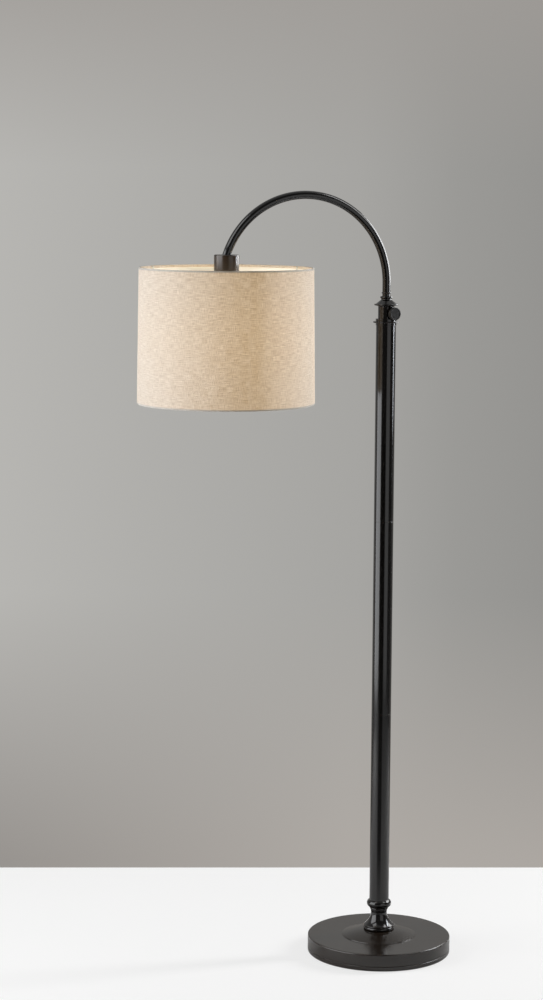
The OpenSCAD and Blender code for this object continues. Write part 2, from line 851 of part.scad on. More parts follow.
module lampholder_body() {
    color(porcelain) on_cup_axis() difference() {
        union() {
            bore(holder_r, holder_z, holder_top_z);
            bore(cup_r, shoulder_z, cup_rim_z);
        }
        bore(shell_r + seat_gap, holder_z - cut, holder_floor_z);
        bore(rivet_d / 2 + seat_gap, holder_floor_z - cut, holder_top_z + cut);
    }
}

module screw_shell() {
    color(brass) on_cup_axis() tube(shell_r, shell_bore_r, shell_z, tip_z);
}

module centre_contact() {
    color(brass) on_cup_axis() {
        bore(tip_d / 2, contact_z, holder_floor_z);
        bore(rivet_d / 2, contact_z, holder_top_z);
    }
}

module switch_leaf() {
    leaf_x = drum_d / 2 + stop_gap;
    color(brass) translate([cup_x + leaf_x, -drum_l / 2, holder_top_z])
        cube([leaf_t, drum_l, shaft_z + drum_d / 2 - holder_top_z]);
}

module switch_key() {
    key_in = cup_r + key_gap;
    color(black) on_switch_axis() {
        bore(shaft_d / 2, -drum_l / 2, key_in + key_l / 2);
        difference() {
            bore(key_d / 2, key_in, key_in + key_l);
            // Two flats to hold it by
            for (side = [0, 1]) mirror([side, 0, 0])
                translate([key_blade_t / 2, -key_d, key_in + key_hub_l]) cube([key_d, 2 * key_d, key_l]);
        }
    }
}

module switch_drum() {
    color(brass) on_switch_axis() tube(drum_d / 2, shaft_d / 2 + seat_gap, -drum_l / 2, drum_l / 2);
}

module shade_clamp_ring() {
    color(black) on_cup_axis()
        tube(holder_r + clamp_ring_w, holder_r + seat_gap, clamp_ring_z, fitter_z);
}

// A spoke runs out from the fitter, bends up to the rim and ends in a stub at the wire ring
module spoke() {
    bend_in = spoke_rise_r - spoke_bend;
    bend_z = spoke_low_z + spoke_bend;
    translate([spoke_in, 0, spoke_low_z]) rotate([0, quarter, 0])
        cylinder(r = spoke_r, h = bend_in - spoke_in);
    translate([bend_in, 0, bend_z]) rotate([quarter, 0, 0]) rotate([0, 0, -quarter])
        rotate_extrude(angle = quarter) translate([spoke_bend, 0]) circle(r = spoke_r);
    translate([spoke_rise_r, 0, bend_z]) cylinder(r = spoke_r, h = spoke_high_z + spoke_r - bend_z);
    translate([spoke_rise_r, 0, spoke_high_z]) rotate([0, quarter, 0])
        cylinder(r = spoke_r, h = spoke_out - spoke_rise_r);
}

module shade_spider() {
    color(steel) on_cup_axis() {
        tube(fitter_r, holder_r + seat_gap, fitter_z, shoulder_z);
        for (i = [0:spoke_count - 1])
            rotate([0, 0, spoke_azimuth + i * full_turn / spoke_count]) spoke();
    }
}

module shade_top_ring() {
    color(steel) on_cup_axis() rotate_extrude()
        translate([top_r - wire_in, shade_top_z - wire_drop]) circle(r = wire_d / 2);
}

module shade_bottom_ring() {
    color(steel) on_cup_axis() rotate_extrude()
        translate([bottom_r - wire_in, shade_z + wire_drop]) circle(r = wire_d / 2);
}

module shade_lining() {
    gap = linen_t + seat_gap;
    color(white) on_cup_axis() rotate_extrude() polygon([
        [bottom_r - gap, shade_z + gap],
        [top_r - gap, shade_top_z - gap],
        [top_r - skin_t, shade_top_z - gap],
        [bottom_r - skin_t, shade_z + gap]
    ]);
}

module shade_linen() {
    turned_top = top_r - fold_w;
    turned_bottom = bottom_r - fold_w;
    outline = [
        [bottom_r, shade_z], [top_r, shade_top_z],
        [turned_top, shade_top_z], [turned_top, shade_top_z - hem_h],
        [turned_top + linen_t, shade_top_z - hem_h], [turned_top + linen_t, shade_top_z - linen_t],
        [top_r - linen_t, shade_top_z - linen_t], [bottom_r - linen_t, shade_z + linen_t],
        [turned_bottom + linen_t, shade_z + linen_t], [turned_bottom + linen_t, shade_z + hem_h],
        [turned_bottom, shade_z + hem_h], [turned_bottom, shade_z]
    ];
    notch_w = spoke_d + 2 * pass_gap;
    color(linen) on_cup_axis() difference() {
        rotate_extrude() polygon(outline);
        // The turned-in linen is notched where each spoke reaches the wire ring
        for (i = [0:spoke_count - 1])
            rotate([0, 0, spoke_azimuth + i * full_turn / spoke_count])
                translate([turned_top - cut, -notch_w / 2, shade_top_z - hem_h - cut])
                cube([cut + linen_t + seat_gap, notch_w, hem_h + cut - linen_t]);
    }
}

module bulb_cap() {
    color(steel) on_cup_axis() difference() {
        bore(bulb_cap_r, bulb_cap_z, tip_z);
        bore(bulb_cap_r - bulb_cap_t, bulb_cap_z - cut, tip_z - bulb_cap_t);
    }
}

module bulb_contact() {
    color(brass) on_cup_axis() translate([0, 0, tip_z]) cylinder(r1 = tip_d, r2 = tip_d / 2, h = tip_h);
}

// The bulb's outline: a globe, and a neck that leaves it along a tangent. wall moves it inwards
function bulb_outline(wall) =
    let (r = bulb_r - wall, neck = glass_neck_r - wall,
         rise = bulb_cap_z - globe_z, far = norm([neck, rise]),
         leave = atan2(rise, neck) - acos(r / far))
    concat(
        [for (i = [0:2 * curve_steps])
            let (a = -quarter + (leave + quarter) * i / (2 * curve_steps))
            [max(r * cos(a), 0), globe_z + r * sin(a)]],
        [[neck, bulb_cap_z]]
    );

module bulb_glass() {
    neck_top_z = bulb_cap_z + bulb_cap_h / 3;
    color(glow) on_cup_axis() rotate_extrude() polygon(concat(
        bulb_outline(0),
        [[glass_neck_r, neck_top_z], [glass_neck_r - glass_t, neck_top_z]],
        reversed(bulb_outline(glass_t))
    ));
}

base_cover();
base_weight();
base_felt();
cable_grommet();
tie_tube();
tie_washer();
tie_nut();
neck_ring();
neck_bell();
neck_seat_ring();
neck_collar();
pole_foot_plug();
pole_lower();
pole_coupling_lower();
pole_middle();
pole_coupling_upper();
pole_upper();
head_collar();
head_cap();
guide_bush();
clamp_pad();
clamp_screw();
clamp_knob();
arm_guide_ring();
arm_snap_ring();
arm_foot();
arm_stop_ring();
arm_tube();
arm_end_nipple();
cup_lock_nut();
socket_cup();
lampholder_housing();
lampholder_body();
screw_shell();
centre_contact();
switch_leaf();
switch_key();
switch_drum();
shade_clamp_ring();
shade_spider();
shade_top_ring();
shade_bottom_ring();
shade_lining();
shade_linen();
bulb_cap();
bulb_contact();
bulb_glass();
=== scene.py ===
# %% [markdown]
# # Arched floor lamp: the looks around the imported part
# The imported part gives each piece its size, its place and its body. This lesson gives the turned
# pieces finer surfaces, the shade woven linen and every piece a procedural material. Lengths are in
# metres, the pole stands on the origin, and the arm points along -X.

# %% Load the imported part
import json
import math

import bmesh
import bpy
import numpy as np
from mathutils import Matrix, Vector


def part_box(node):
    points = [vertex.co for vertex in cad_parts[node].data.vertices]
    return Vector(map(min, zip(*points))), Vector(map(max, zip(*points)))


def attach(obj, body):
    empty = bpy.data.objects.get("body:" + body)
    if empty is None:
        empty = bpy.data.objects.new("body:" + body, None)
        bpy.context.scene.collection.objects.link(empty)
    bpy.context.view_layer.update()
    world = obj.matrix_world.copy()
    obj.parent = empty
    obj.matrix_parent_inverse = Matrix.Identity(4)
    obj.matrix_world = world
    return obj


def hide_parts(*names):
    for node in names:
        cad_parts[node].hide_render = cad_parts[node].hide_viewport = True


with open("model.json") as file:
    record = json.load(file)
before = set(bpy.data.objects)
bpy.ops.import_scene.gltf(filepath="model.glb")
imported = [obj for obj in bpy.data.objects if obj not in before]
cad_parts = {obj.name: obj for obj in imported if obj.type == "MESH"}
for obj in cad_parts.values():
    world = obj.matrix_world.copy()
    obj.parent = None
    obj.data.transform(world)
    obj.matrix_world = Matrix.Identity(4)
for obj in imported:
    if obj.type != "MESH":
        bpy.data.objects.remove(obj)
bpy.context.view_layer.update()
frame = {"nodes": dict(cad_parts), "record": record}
MM, studio = 0.001, bpy.context.scene

# %% [markdown]
# ## Camera
# The photo was taken from a little above the shade, with a long lens. A constraint could aim the
# camera, but a fitted one has its own turn, tilt and small roll, so its three directions are worked
# out and written into its matrix.

# %% Camera
TURN, TILT, ROLL = math.radians(20.538), math.radians(7.417), math.radians(0.371)
EYE = np.array([-1.963, -4.608, 1.567])
LENS, SENSOR = 92.1, 36.0
IMAGE = np.array([543, 1000])

ahead_flat = np.array([math.sin(TURN), math.cos(TURN), 0])
side_flat = np.array([math.cos(TURN), -math.sin(TURN), 0])
ahead = ahead_flat * math.cos(TILT) - np.array([0, 0, math.sin(TILT)])
up_level = np.cross(side_flat, ahead)
side = side_flat * math.cos(ROLL) + up_level * math.sin(ROLL)
up = up_level * math.cos(ROLL) - side_flat * math.sin(ROLL)

camera_data = bpy.data.cameras.new("camera")
camera_data.lens, camera_data.sensor_width, camera_data.clip_end = LENS, SENSOR, 60
camera = bpy.data.objects.new("camera", camera_data)
camera.matrix_world = Matrix(np.vstack([np.stack([side, up, -ahead, EYE], 1), [0, 0, 0, 1]]))
studio.collection.objects.link(camera)
studio.camera = camera
print("camera looks along", ahead.round(3))


# %% Where a pixel's ray meets the floor
def floor_point(x, y):
    """The point on the floor that the photo shows at pixel x, y. The ray runs ahead, plus side and
    up by the pixel's distance from the middle over the focal length, down to a height of zero."""
    focal = LENS / SENSOR * IMAGE[1]
    ray = ahead + side * (x - IMAGE[0] / 2) / focal - up * (y - IMAGE[1] / 2) / focal
    return EYE - ray * EYE[2] / ray[2]


print("base's front edge near", floor_point(380, 968).round(3))

# %% [markdown]
# ## Surfaces from grids
# Nearly every piece is turned or bent from round stock. A turned piece is a profile carried round
# an axis, and a bent tube is a circle carried along a path, so both are grids of points. Blender's
# Screw and Spin tools could make them, but a grid worked out with numpy keeps the exact sizes.


# %% Mesh helpers
def grid_faces(rows, columns, closed_rows=False, closed_columns=True):
    """Quads between each point of a grid and its neighbours in the next row and column. A closed
    direction joins its last line to its first."""
    i = np.arange(rows if closed_rows else rows - 1)
    j = np.arange(columns if closed_columns else columns - 1)
    i, j = (v.ravel() for v in np.meshgrid(i, j, indexing="ij"))
    up_row, next_column = (i + 1) % rows, (j + 1) % columns
    corners = [i * columns + j, i * columns + next_column,
               up_row * columns + next_column, up_row * columns + j]
    return np.stack(corners, 1)


def mesh_object(name, points, faces):
    """A mesh object in the scene, from points in the lamp's frame."""
    mesh = bpy.data.meshes.new(name)
    mesh.from_pydata(np.asarray(points).reshape(-1, 3).tolist(), [], np.asarray(faces).tolist())
    mesh.validate()
    added = bpy.data.objects.new(name, mesh)
    studio.collection.objects.link(added)
    return added


def make_piece(name, points, faces, material, body, node, sharp=40):
    """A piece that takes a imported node's place and rides its body. Edges sharper than the given
    angle in degrees stay sharp."""
    piece = mesh_object(name, points, faces)
    piece.data.materials.append(material)
    piece.data.shade_smooth()
    piece.data.set_sharp_from_angle(angle=math.radians(sharp))
    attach(piece, body)
    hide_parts(node)
    return piece


def rounded(corners, steps=6, edge=0.15):
    """A profile whose corners (r, z, radius) are rounded. An arc touches both straight lines at
    radius over the tangent of half the angle between them, and a point `edge` millimetres before
    and after it keeps the flats flat when they are smooth shaded."""
    points = np.array([c[:2] for c in corners], float)
    radii = [c[2] if len(c) > 2 else 0 for c in corners]
    out = [points[0]]
    for k in range(1, len(points) - 1):
        here, radius = points[k], radii[k]
        back, on = points[k - 1] - here, points[k + 1] - here
        back_length, on_length = np.linalg.norm(back), np.linalg.norm(on)
        back, on = back / back_length, on / on_length
        half = math.acos(np.clip(back @ on, -1, 1)) / 2
        if radius <= 0 or half > 1.55:
            out.append(here)
            continue
        reach = min(radius / math.tan(half), 0.49 * back_length, 0.49 * on_length)
        radius = reach * math.tan(half)
        centre = here + (back + on) / np.linalg.norm(back + on) * radius / math.sin(half)
        first, last = here + back * reach - centre, here + on * reach - centre
        share = np.linspace(0, 1, steps + 1)[:, None]
        span = math.pi - 2 * half
        arc = (np.sin((1 - share) * span) * first + np.sin(share * span) * last) / math.sin(span)
        extra_back = min(edge, 0.4 * (back_length - reach))
        extra_on = min(edge, 0.4 * (on_length - reach))
        out += [here + back * (reach + extra_back), *(centre + arc), here + on * (reach + extra_on)]
    out.append(points[-1])
    return np.array(out)


def sleeve(bore, radius, low, high, edge):
    """The profile of a tube or disc whose two outer edges are rounded."""
    return rounded([(bore, low), (radius, low, edge), (radius, high, edge), (bore, high)])


def angles(count):
    """Evenly spaced angles of one full turn."""
    return np.arange(count) * math.tau / count


def turned(profile, segments=160, closed=True):
    """Points and faces of a profile in millimetres carried round the Z axis: (r, z) becomes
    (r cos a, r sin a, z). The profile runs up the outside, and down the inside where it is closed,
    so that its faces point out."""
    angle = angles(segments)
    r, z = np.asarray(profile)[:, :1] * MM, np.asarray(profile)[:, 1:2] * MM
    points = np.stack([r * np.cos(angle), r * np.sin(angle), z + 0 * angle], -1)
    return points, grid_faces(len(r), segments, closed_rows=closed)


def on_axis(points, origin, direction):
    """Points turned so that their +Z runs along direction, and moved to origin."""
    z = np.array(direction, float) / np.linalg.norm(direction)
    x = np.cross([0, 0, 1], z) if abs(z[2]) < 0.9 else np.array([1.0, 0, 0])
    x = x / np.linalg.norm(x)
    return points.reshape(-1, 3) @ np.stack([x, np.cross(z, x), z]) + np.array(origin)


def rod(radius, length):
    """Points and faces of a rod with 48 sides that stands on the origin."""
    return turned([(0, 0), (radius, 0), (radius, length), (0, length)], 48, closed=False)


def drill(piece, origin, direction, radius, length):
    """Cuts a round hole: a rod is taken away with a Boolean, and then removed."""
    points, faces = rod(radius, length)
    cutter = mesh_object("cutter", on_axis(points, origin, direction), faces)
    merge_points(cutter.data)
    boolean = piece.modifiers.new("hole", "BOOLEAN")
    boolean.object, boolean.operation, boolean.solver = cutter, "DIFFERENCE", "EXACT"
    apply_modifiers(piece)
    bpy.data.objects.remove(cutter)


def merge_points(mesh):
    """Joins points that lie on each other, such as a profile's end on the axis."""
    work = bmesh.new()
    work.from_mesh(mesh)
    bmesh.ops.remove_doubles(work, verts=work.verts, dist=1e-6)
    bmesh.ops.dissolve_degenerate(work, edges=work.edges, dist=1e-7)
    work.to_mesh(mesh)
    work.free()


def apply_modifiers(piece):
    """Keeps the shape that the piece's modifiers make, removes them and marks sharp edges."""
    shown = piece.evaluated_get(bpy.context.evaluated_depsgraph_get())
    mesh = bpy.data.meshes.new_from_object(shown)
    piece.modifiers.clear()
    piece.data = mesh
    mesh.set_sharp_from_angle(angle=math.radians(40))


def girth(node):
    """Half the width along X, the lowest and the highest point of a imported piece, in millimetres."""
    low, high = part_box(node)
    return (high.x - low.x) / 2 / MM, low.z / MM, high.z / MM


print("mesh helpers ready")

# %% [markdown]
# ## Materials
# A procedural material is a small network of nodes. Each one here reads Object coordinates, which
# are metres in the lamp's own frame, so a scale of 1000 makes detail of about a millimetre. Adding
# a node and linking its sockets takes several lines, so a class gives each kind a short name.


# %% Material helpers
class Net:
    """Short names for the nodes of one tree. Each method adds a node and gives its output. Every
    value may be a number, a tuple or another node's output."""

    def __init__(self, tree):
        self.nodes, self.links = tree.nodes, tree.links

    def feed(self, socket, value):
        """Sets a number, a vector or a colour on a socket, or links an output to it."""
        if isinstance(value, (int, float)):
            socket.default_value = value
        elif isinstance(value, tuple):
            socket.default_value = (*value, 1) if socket.type == "RGBA" else value
        else:
            self.links.new(value, socket)

    def give(self, **values):
        """Feeds the Principled shader's sockets. Their names have _ for a space."""
        for name, value in values.items():
            self.feed(self.nodes["Principled BSDF"].inputs[name.replace("_", " ")], value)

    def add(self, kind, output, **values):
        """Adds a node, feeds its inputs by name in the same way, and gives one of its outputs."""
        node = self.nodes.new("ShaderNode" + kind)
        for name, value in values.items():
            self.feed(node.inputs[name.replace("_", " ")], value)
        return node.outputs[output]

    def noise(self, where, scale, detail=3, roughness=0.55, stretch=(1, 1, 1)):
        """Cloudy noise from 0 to 1. Stretch scales each axis, so 0.1 draws the clouds out tenfold."""
        where = self.add("Mapping", "Vector", Vector=where, Scale=stretch)
        return self.add("TexNoise", "Fac", Vector=where, Scale=scale, Detail=detail, Roughness=roughness)

    def remap(self, value, low, high, to_low=0, to_high=1):
        """A value from low to high moved to the range from to_low to to_high, and kept inside it."""
        return self.add("MapRange", "Result", Value=value, From_Min=low, From_Max=high,
                        To_Min=to_low, To_Max=to_high)

    def calculate(self, operation, first, *others):
        """The operation on the first value and the next, then on the result and the one after."""
        result = first
        for other in others or (None,):
            node = self.nodes.new("ShaderNodeMath")
            node.operation = operation
            self.feed(node.inputs[0], result)
            if other is not None:
                self.feed(node.inputs[1], other)
            result = node.outputs["Value"]
        return result

    def times(self, *values):
        """The product of the values."""
        return self.calculate("MULTIPLY", *values)

    def dot(self, vector, axis):
        """How far a vector reaches along an axis."""
        node = self.nodes.new("ShaderNodeVectorMath")
        node.operation = "DOT_PRODUCT"
        self.feed(node.inputs[0], vector)
        self.feed(node.inputs[1], tuple(axis))
        return node.outputs["Value"]

    def split(self, vector):
        """The X, Y and Z of a vector."""
        node = self.nodes.new("ShaderNodeSeparateXYZ")
        self.feed(node.inputs["Vector"], vector)
        return node.outputs["X"], node.outputs["Y"], node.outputs["Z"]

    def blend(self, factor, first, second):
        """Two colours mixed: the first at a factor of 0 and the second at 1."""
        node = self.nodes.new("ShaderNodeMix")
        node.data_type = "RGBA"
        colour_sockets = [socket for socket in node.inputs if socket.type == "RGBA"]
        for socket, value in zip([node.inputs[0]] + colour_sockets, (factor, first, second)):
            self.feed(socket, value)
        return next(socket for socket in node.outputs if socket.type == "RGBA")

    def bump(self, height, depth, strength):
        """Relief that shades as if the surface rose by up to depth metres."""
        relief = self.add("Bump", "Normal", Strength=strength, Distance=depth, Height=height)
        self.give(Normal=relief)


def shader(name, **constants):
    """A new material with its net and its Object coordinates."""
    material = bpy.data.materials.new(name)
    material.use_nodes = True
    net = Net(material.node_tree)
    net.give(**constants)
    return material, net, net.add("TexCoord", "Object")


print("material helpers ready")

# %% [markdown]
# ### Dark bronze enamel
# The lamp's metal is lacquered a brown so dark that it reads as black, with a clear gloss that
# shows the studio's panels as bands. The coat has a faint orange-peel relief, its gloss varies in
# soft clouds, and brown shows on proud edges, where cloths rub, painted from a number that each
# turned piece carries on its points. The base has a duller coat, so it mirrors the pole only as a
# soft band. The socket cup gets a lighter, browner copy of the lacquer: painted warm light of the
# bulb that shines on it.


# %% Dark bronze
def dark_bronze(name, smooth, dull, dark, light):
    """The lacquer: its roughness goes from smooth to dull and its colour from dark to light with
    one cloudy noise. A finer noise times the rubbed number brings in the brown underneath."""
    material, net, where = shader(name, IOR=1.55)
    clouds = net.noise(where, 14, detail=4)
    rubbed = net.nodes.new("ShaderNodeAttribute")
    rubbed.attribute_name = "rubbed"
    patchy = net.times(rubbed.outputs["Fac"], net.remap(net.noise(where, 160), 0.35, 0.65, 0, 0.5))
    net.give(Base_Color=net.blend(patchy, net.blend(clouds, dark, light), (0.045, 0.025, 0.014)),
             Roughness=net.remap(clouds, 0.3, 0.7, smooth, dull))
    net.bump(net.noise(where, 900, detail=2), 0.000006, 0.3)
    return material


BRONZE = dark_bronze("dark_bronze", 0.11, 0.16, (0.0030, 0.0027, 0.0026), (0.0060, 0.0049, 0.0043))
# Painted light: a lighter, browner copy of the lacquer for the socket cup, standing for the bulb's warm
# light on it.
BULB_LIT_BRONZE = dark_bronze("bulb_lit_bronze", 0.18, 0.24, (0.024, 0.014, 0.008), (0.040, 0.024, 0.014))
SATIN = dark_bronze("satin_bronze", 0.20, 0.27, (0.0080, 0.0054, 0.0035), (0.0170, 0.0115, 0.0075))
print(BRONZE.name, BULB_LIT_BRONZE.name, SATIN.name)

# %% [markdown]
# ### Metals, plastics, rubber, porcelain
# Zinc plating has fine drawn lines, which are noise stretched along one direction, brass is warmer
# and cleaner, and cast iron is rough and dull. The knob is black plastic, the grommet rubber, the
# spokes are coated white and the lampholder is glazed porcelain. One helper serves them all,
# because only the colours and the grain's size and depth differ.


# %% Plain finishes
def finish(name, dark, light, rough, grain_scale, relief, strength=0.6, cloud_scale=60,
           cloud_detail=3, grain_detail=2, stretch=(1, 1, 1), metallic=0.0):
    """A cloudy noise blends the colour from dark to light. A finer one, the grain, sets the
    roughness between its two limits and raises the relief."""
    material, net, where = shader(name, Metallic=metallic)
    clouds = net.noise(where, cloud_scale, detail=cloud_detail)
    grain = net.noise(where, grain_scale, detail=grain_detail, stretch=stretch)
    net.give(Base_Color=net.blend(clouds, dark, light), Roughness=net.remap(grain, 0.3, 0.7, *rough))
    net.bump(grain, relief, strength)
    return material


BARE = dict(strength=0.4, cloud_scale=40, cloud_detail=4, grain_detail=3)
STEEL = finish("plated_steel", (0.46, 0.46, 0.45), (0.60, 0.60, 0.58), (0.26, 0.42), 700, 0.00003,
               stretch=(1, 1, 0.08), metallic=1.0, **BARE)
BRASS = finish("satin_brass", (0.62, 0.44, 0.18), (0.74, 0.55, 0.25), (0.22, 0.36), 700, 0.00002,
               stretch=(1, 1, 0.1), metallic=1.0, **BARE)
IRON = finish("cast_iron", (0.030, 0.029, 0.028), (0.065, 0.062, 0.060), (0.60, 0.85), 420, 0.00025,
              metallic=0.6, **BARE)
BLACK = finish("black_plastic", (0.010, 0.0095, 0.009), (0.018, 0.017, 0.016), (0.36, 0.52), 1900, 0.00012)
RUBBER = finish("soft_rubber", (0.012, 0.012, 0.012), (0.022, 0.021, 0.020), (0.60, 0.78), 800, 0.00004)
NYLON = finish("natural_nylon", (0.70, 0.67, 0.58), (0.80, 0.77, 0.69), (0.42, 0.56), 500, 0.00002)
ENAMEL = finish("white_enamel", (0.74, 0.72, 0.66), (0.82, 0.80, 0.74), (0.28, 0.38), 300, 0.00003)
PORCELAIN = finish("glazed_porcelain", (0.76, 0.74, 0.68), (0.84, 0.82, 0.77), (0.10, 0.18), 120, 0.00003)
print("plain finishes from", STEEL.name, "to", PORCELAIN.name)

# %% [markdown]
# ### Felt
# Felt is a mat of tangled fibres: its colour is speckled, it has no gloss, and it catches light
# at its rim. One rough noise makes the mat, and the sheen is a plain number.


# %% Felt
def felt():
    """One noise of fibre size blends two dark greys and raises the relief."""
    material, net, where = shader("felt", Roughness=0.95, Sheen_Weight=0.25)
    mat = net.noise(where, 700, detail=4, roughness=0.7)
    net.give(Base_Color=net.blend(mat, (0.012, 0.012, 0.012), (0.060, 0.058, 0.055)))
    net.bump(mat, 0.0004, 0.8)
    return material


FELT = felt()
print(FELT.name)

# %% [markdown]
# ### Linen
# The shade's linen is a plain weave of undyed yarns. Each yarn swells now and then into a slub,
# and at this distance the eye sees short dashes along and across. The cloth carries its own UV map
# in metres, so yarns 0.9 mm apart are waves on it, and their differences are noise drawn out along
# each yarn. Its beige is painted light: the lit bulb shining through is drawn as the cloth's own
# glow, browner where a yarn is thick. That glow is painted weaker towards the sides and stronger
# towards the pole, and the folds over the wires stop it, which paints a thin dark line at each rim.

# %% Sizes of the shade
BULB_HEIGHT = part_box("bulb_glass")[0].z + 0.030
SHADE_R, SHADE_FOOT, SHADE_TOP = girth("shade_linen")
CUP_X = (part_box("socket_cup")[0].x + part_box("socket_cup")[1].x) / 2
TAPER, LAP = 3.4, math.radians(4.2)
MEAN_R = (SHADE_R - TAPER / 2) * MM
CUT_WIDTH = (math.tau + LAP) * MEAN_R
YARN_PITCH = 0.0009
print("bulb at", round(BULB_HEIGHT, 4), "cloth cut", round(CUT_WIDTH, 4), "m wide")


# %% Linen
def glow_bell(net, height, spread):
    """A bell curve over height: the exponent of minus the squared distance from the bulb over the
    spread."""
    far = net.calculate("DIVIDE", net.calculate("SUBTRACT", height, BULB_HEIGHT), spread)
    return net.calculate("EXPONENT", net.times(net.times(far, far), -1))


def linen():
    """The weave is the product of two sine waves, one for each direction of the yarns. The tone is
    a sum of three noises, two drawn out along the weft and one along the warp, and it sets the
    colour, the relief and the painted glow that stands for the bulb's light coming through."""
    material, net, where = shader("linen", Roughness=0.9, Sheen_Weight=0.3, Sheen_Roughness=0.5)
    cloth = net.nodes.new("ShaderNodeUVMap")
    cloth.uv_map = "yarns"
    flat = cloth.outputs["UV"]
    width, length, _ = net.split(flat)
    warp, weft = (net.calculate("SINE", net.times(v, math.tau / YARN_PITCH)) for v in (width, length))
    over = net.times(warp, weft)
    across = net.noise(flat, 1300, detail=2, stretch=(0.05, 1, 1))
    along = net.noise(flat, 1000, detail=1, stretch=(1, 0.09, 1))
    broad = net.noise(flat, 800, detail=1, stretch=(0.06, 1, 1))
    both_ways = net.calculate("ADD", net.times(along, 0.7), net.times(broad, 0.6))
    yarn = net.calculate("ADD", net.times(across, 0.9), both_ways)
    tone = net.remap(yarn, 0.83, 1.37)
    colour = net.blend(tone, (0.385, 0.36, 0.335), (0.475, 0.465, 0.455))
    stain = net.remap(net.noise(flat, 22, detail=3), 0.35, 0.65, 0, 0.15)
    colour = net.blend(stain, colour, (0.37, 0.34, 0.31))
    colour = net.blend(net.remap(over, -1, 1, 0.12, 0), colour, (0.24, 0.205, 0.17))
    # Painted shade: the last half millimetre of the lapped end is darker, a shadow line along the seam's
    # step.
    painted_seam_shade = net.remap(width, CUT_WIDTH - 0.0006, CUT_WIDTH - 0.0001, 0, 0.5)
    net.give(Base_Color=net.blend(painted_seam_shade, colour, (0.22, 0.18, 0.14)))
    net.bump(net.calculate("ADD", net.times(over, 0.35), yarn), 0.0005, 0.7)
    painted_bulb_glow(net, where, tone)
    return material


def painted_bulb_glow(net, where, tone):
    """The bulb's light through the cloth, painted as the cloth's own glow: a little more at the
    bulb's height, 0.7 times as much where the drum turns away from Y as painted shade towards the
    sides, more on the side towards the pole as a painted glow for its reflection in the pole, and a
    fifth in the folds over the wires, a painted dark line of shade at each rim."""
    x, y, z = net.split(where)
    level = net.remap(glow_bell(net, z, 0.105), 0, 1, 0.9, 1.06)
    facing = net.calculate("DIVIDE", y, SHADE_R * MM)
    # Painted light and shade: the glow falls to 0.7 where the drum turns away from Y.
    level = net.times(level, net.remap(net.times(facing, facing), 0, 1, 0.70, 1))
    from_edge = net.calculate("MINIMUM", net.calculate("SUBTRACT", SHADE_TOP * MM, z),
                              net.calculate("SUBTRACT", z, SHADE_FOOT * MM))
    # Painted shade: on the outer side of each rim's fold the glow drops to a fifth, a thin dark line at
    # each rim.
    painted_rim_shade = net.remap(from_edge, 0.0018, 0.0042, 1, 0)
    sideways = net.calculate("SUBTRACT", x, CUP_X)
    towards_pole = net.calculate("DIVIDE", sideways, SHADE_R * MM)
    # Painted glow: half as much again on the side towards the pole, for a warmer reflection in the pole.
    level = net.times(level, net.remap(towards_pole, 0.78, 1.0, 1, 1.5))
    radius = net.calculate("SQRT", net.calculate("ADD", net.times(sideways, sideways), net.times(y, y)))
    outside = net.remap(radius, (SHADE_R - 7) * MM, (SHADE_R - 6) * MM)
    level = net.times(level, net.remap(net.times(painted_rim_shade, outside), 0, 1, 1, 0.2))
    # Painted light: the bulb's glow through the cloth is the linen's own emission.
    net.give(Emission_Color=net.blend(tone, (0.475, 0.255, 0.045), (0.955, 0.715, 0.450)),
             Emission_Strength=net.times(level, 0.609))


LINEN = linen()
print(LINEN.name)

# %% [markdown]
# ### Styrene lining and the bulb
# The lining is matt white plastic with a painted glow that stands for the bulb's light on it,
# soft and strongest near the bulb's height. The bulb is a frosted globe that shines nearly evenly,
# a little less at its neck. Both use the shader's own light, which needs no lamp object.


# %% Lining and bulb
def glowing(name, dark, light, rough, glow, strength, spread, constant=0.0):
    """A cloudy colour, and light of the strength times a bell curve over height, plus a constant."""
    material, net, where = shader(name, Roughness=rough)
    bell_curve = glow_bell(net, net.split(where)[2], spread)
    net.give(Base_Color=net.blend(net.noise(where, 30, detail=3), dark, light), Emission_Color=glow,
             Emission_Strength=net.calculate("ADD", net.times(bell_curve, strength), constant))
    return material


# Painted light: the lining's own glow stands for the bulb's light falling on it.
LINING = glowing("white_styrene", (0.80, 0.77, 0.70), (0.86, 0.84, 0.79), 0.55, (1.0, 0.88, 0.66),
                 0.25, 0.13, constant=0.12)
GLASS = glowing("frosted_glass", (0.86, 0.82, 0.74), (0.92, 0.89, 0.83), 0.35, (1.0, 0.80, 0.50), 4.0, 0.09)
print(LINING.name, GLASS.name)

# %% [markdown]
# ## The base
# The base cover is spun from one sheet: a rolled lower edge, a fine groove, a rounded rim, a flat
# top and a low dome. One closed profile, outside and inside of the sheet, is carried round the
# axis, and its proud edges carry the number that shows the rubbed brown.


# %% Rubbed edges
def add_rubbed(piece, profile, segments):
    """A number from 0 to 1 on each point, high where the profile turns sharply outwards. It is the
    angle between the two lines that meet there over their length, with flats and hollows at 0."""
    p = np.asarray(profile, float)
    back, on = p - np.roll(p, 1, 0), np.roll(p, -1, 0) - p
    turn = back[:, 0] * on[:, 1] - back[:, 1] * on[:, 0]
    to_last, to_next = np.linalg.norm(back, axis=1), np.linalg.norm(on, axis=1)
    angle = np.arcsin(np.clip(turn / (to_last * to_next + 1e-9), -1, 1))
    curved = np.clip(angle / np.maximum((to_last + to_next) / 2, 0.05) / 1.2, 0, 1)
    values = np.repeat(curved, segments).astype(np.float32)
    attribute = piece.data.attributes.new("rubbed", "FLOAT", "POINT")
    attribute.data.foreach_set("value", values)


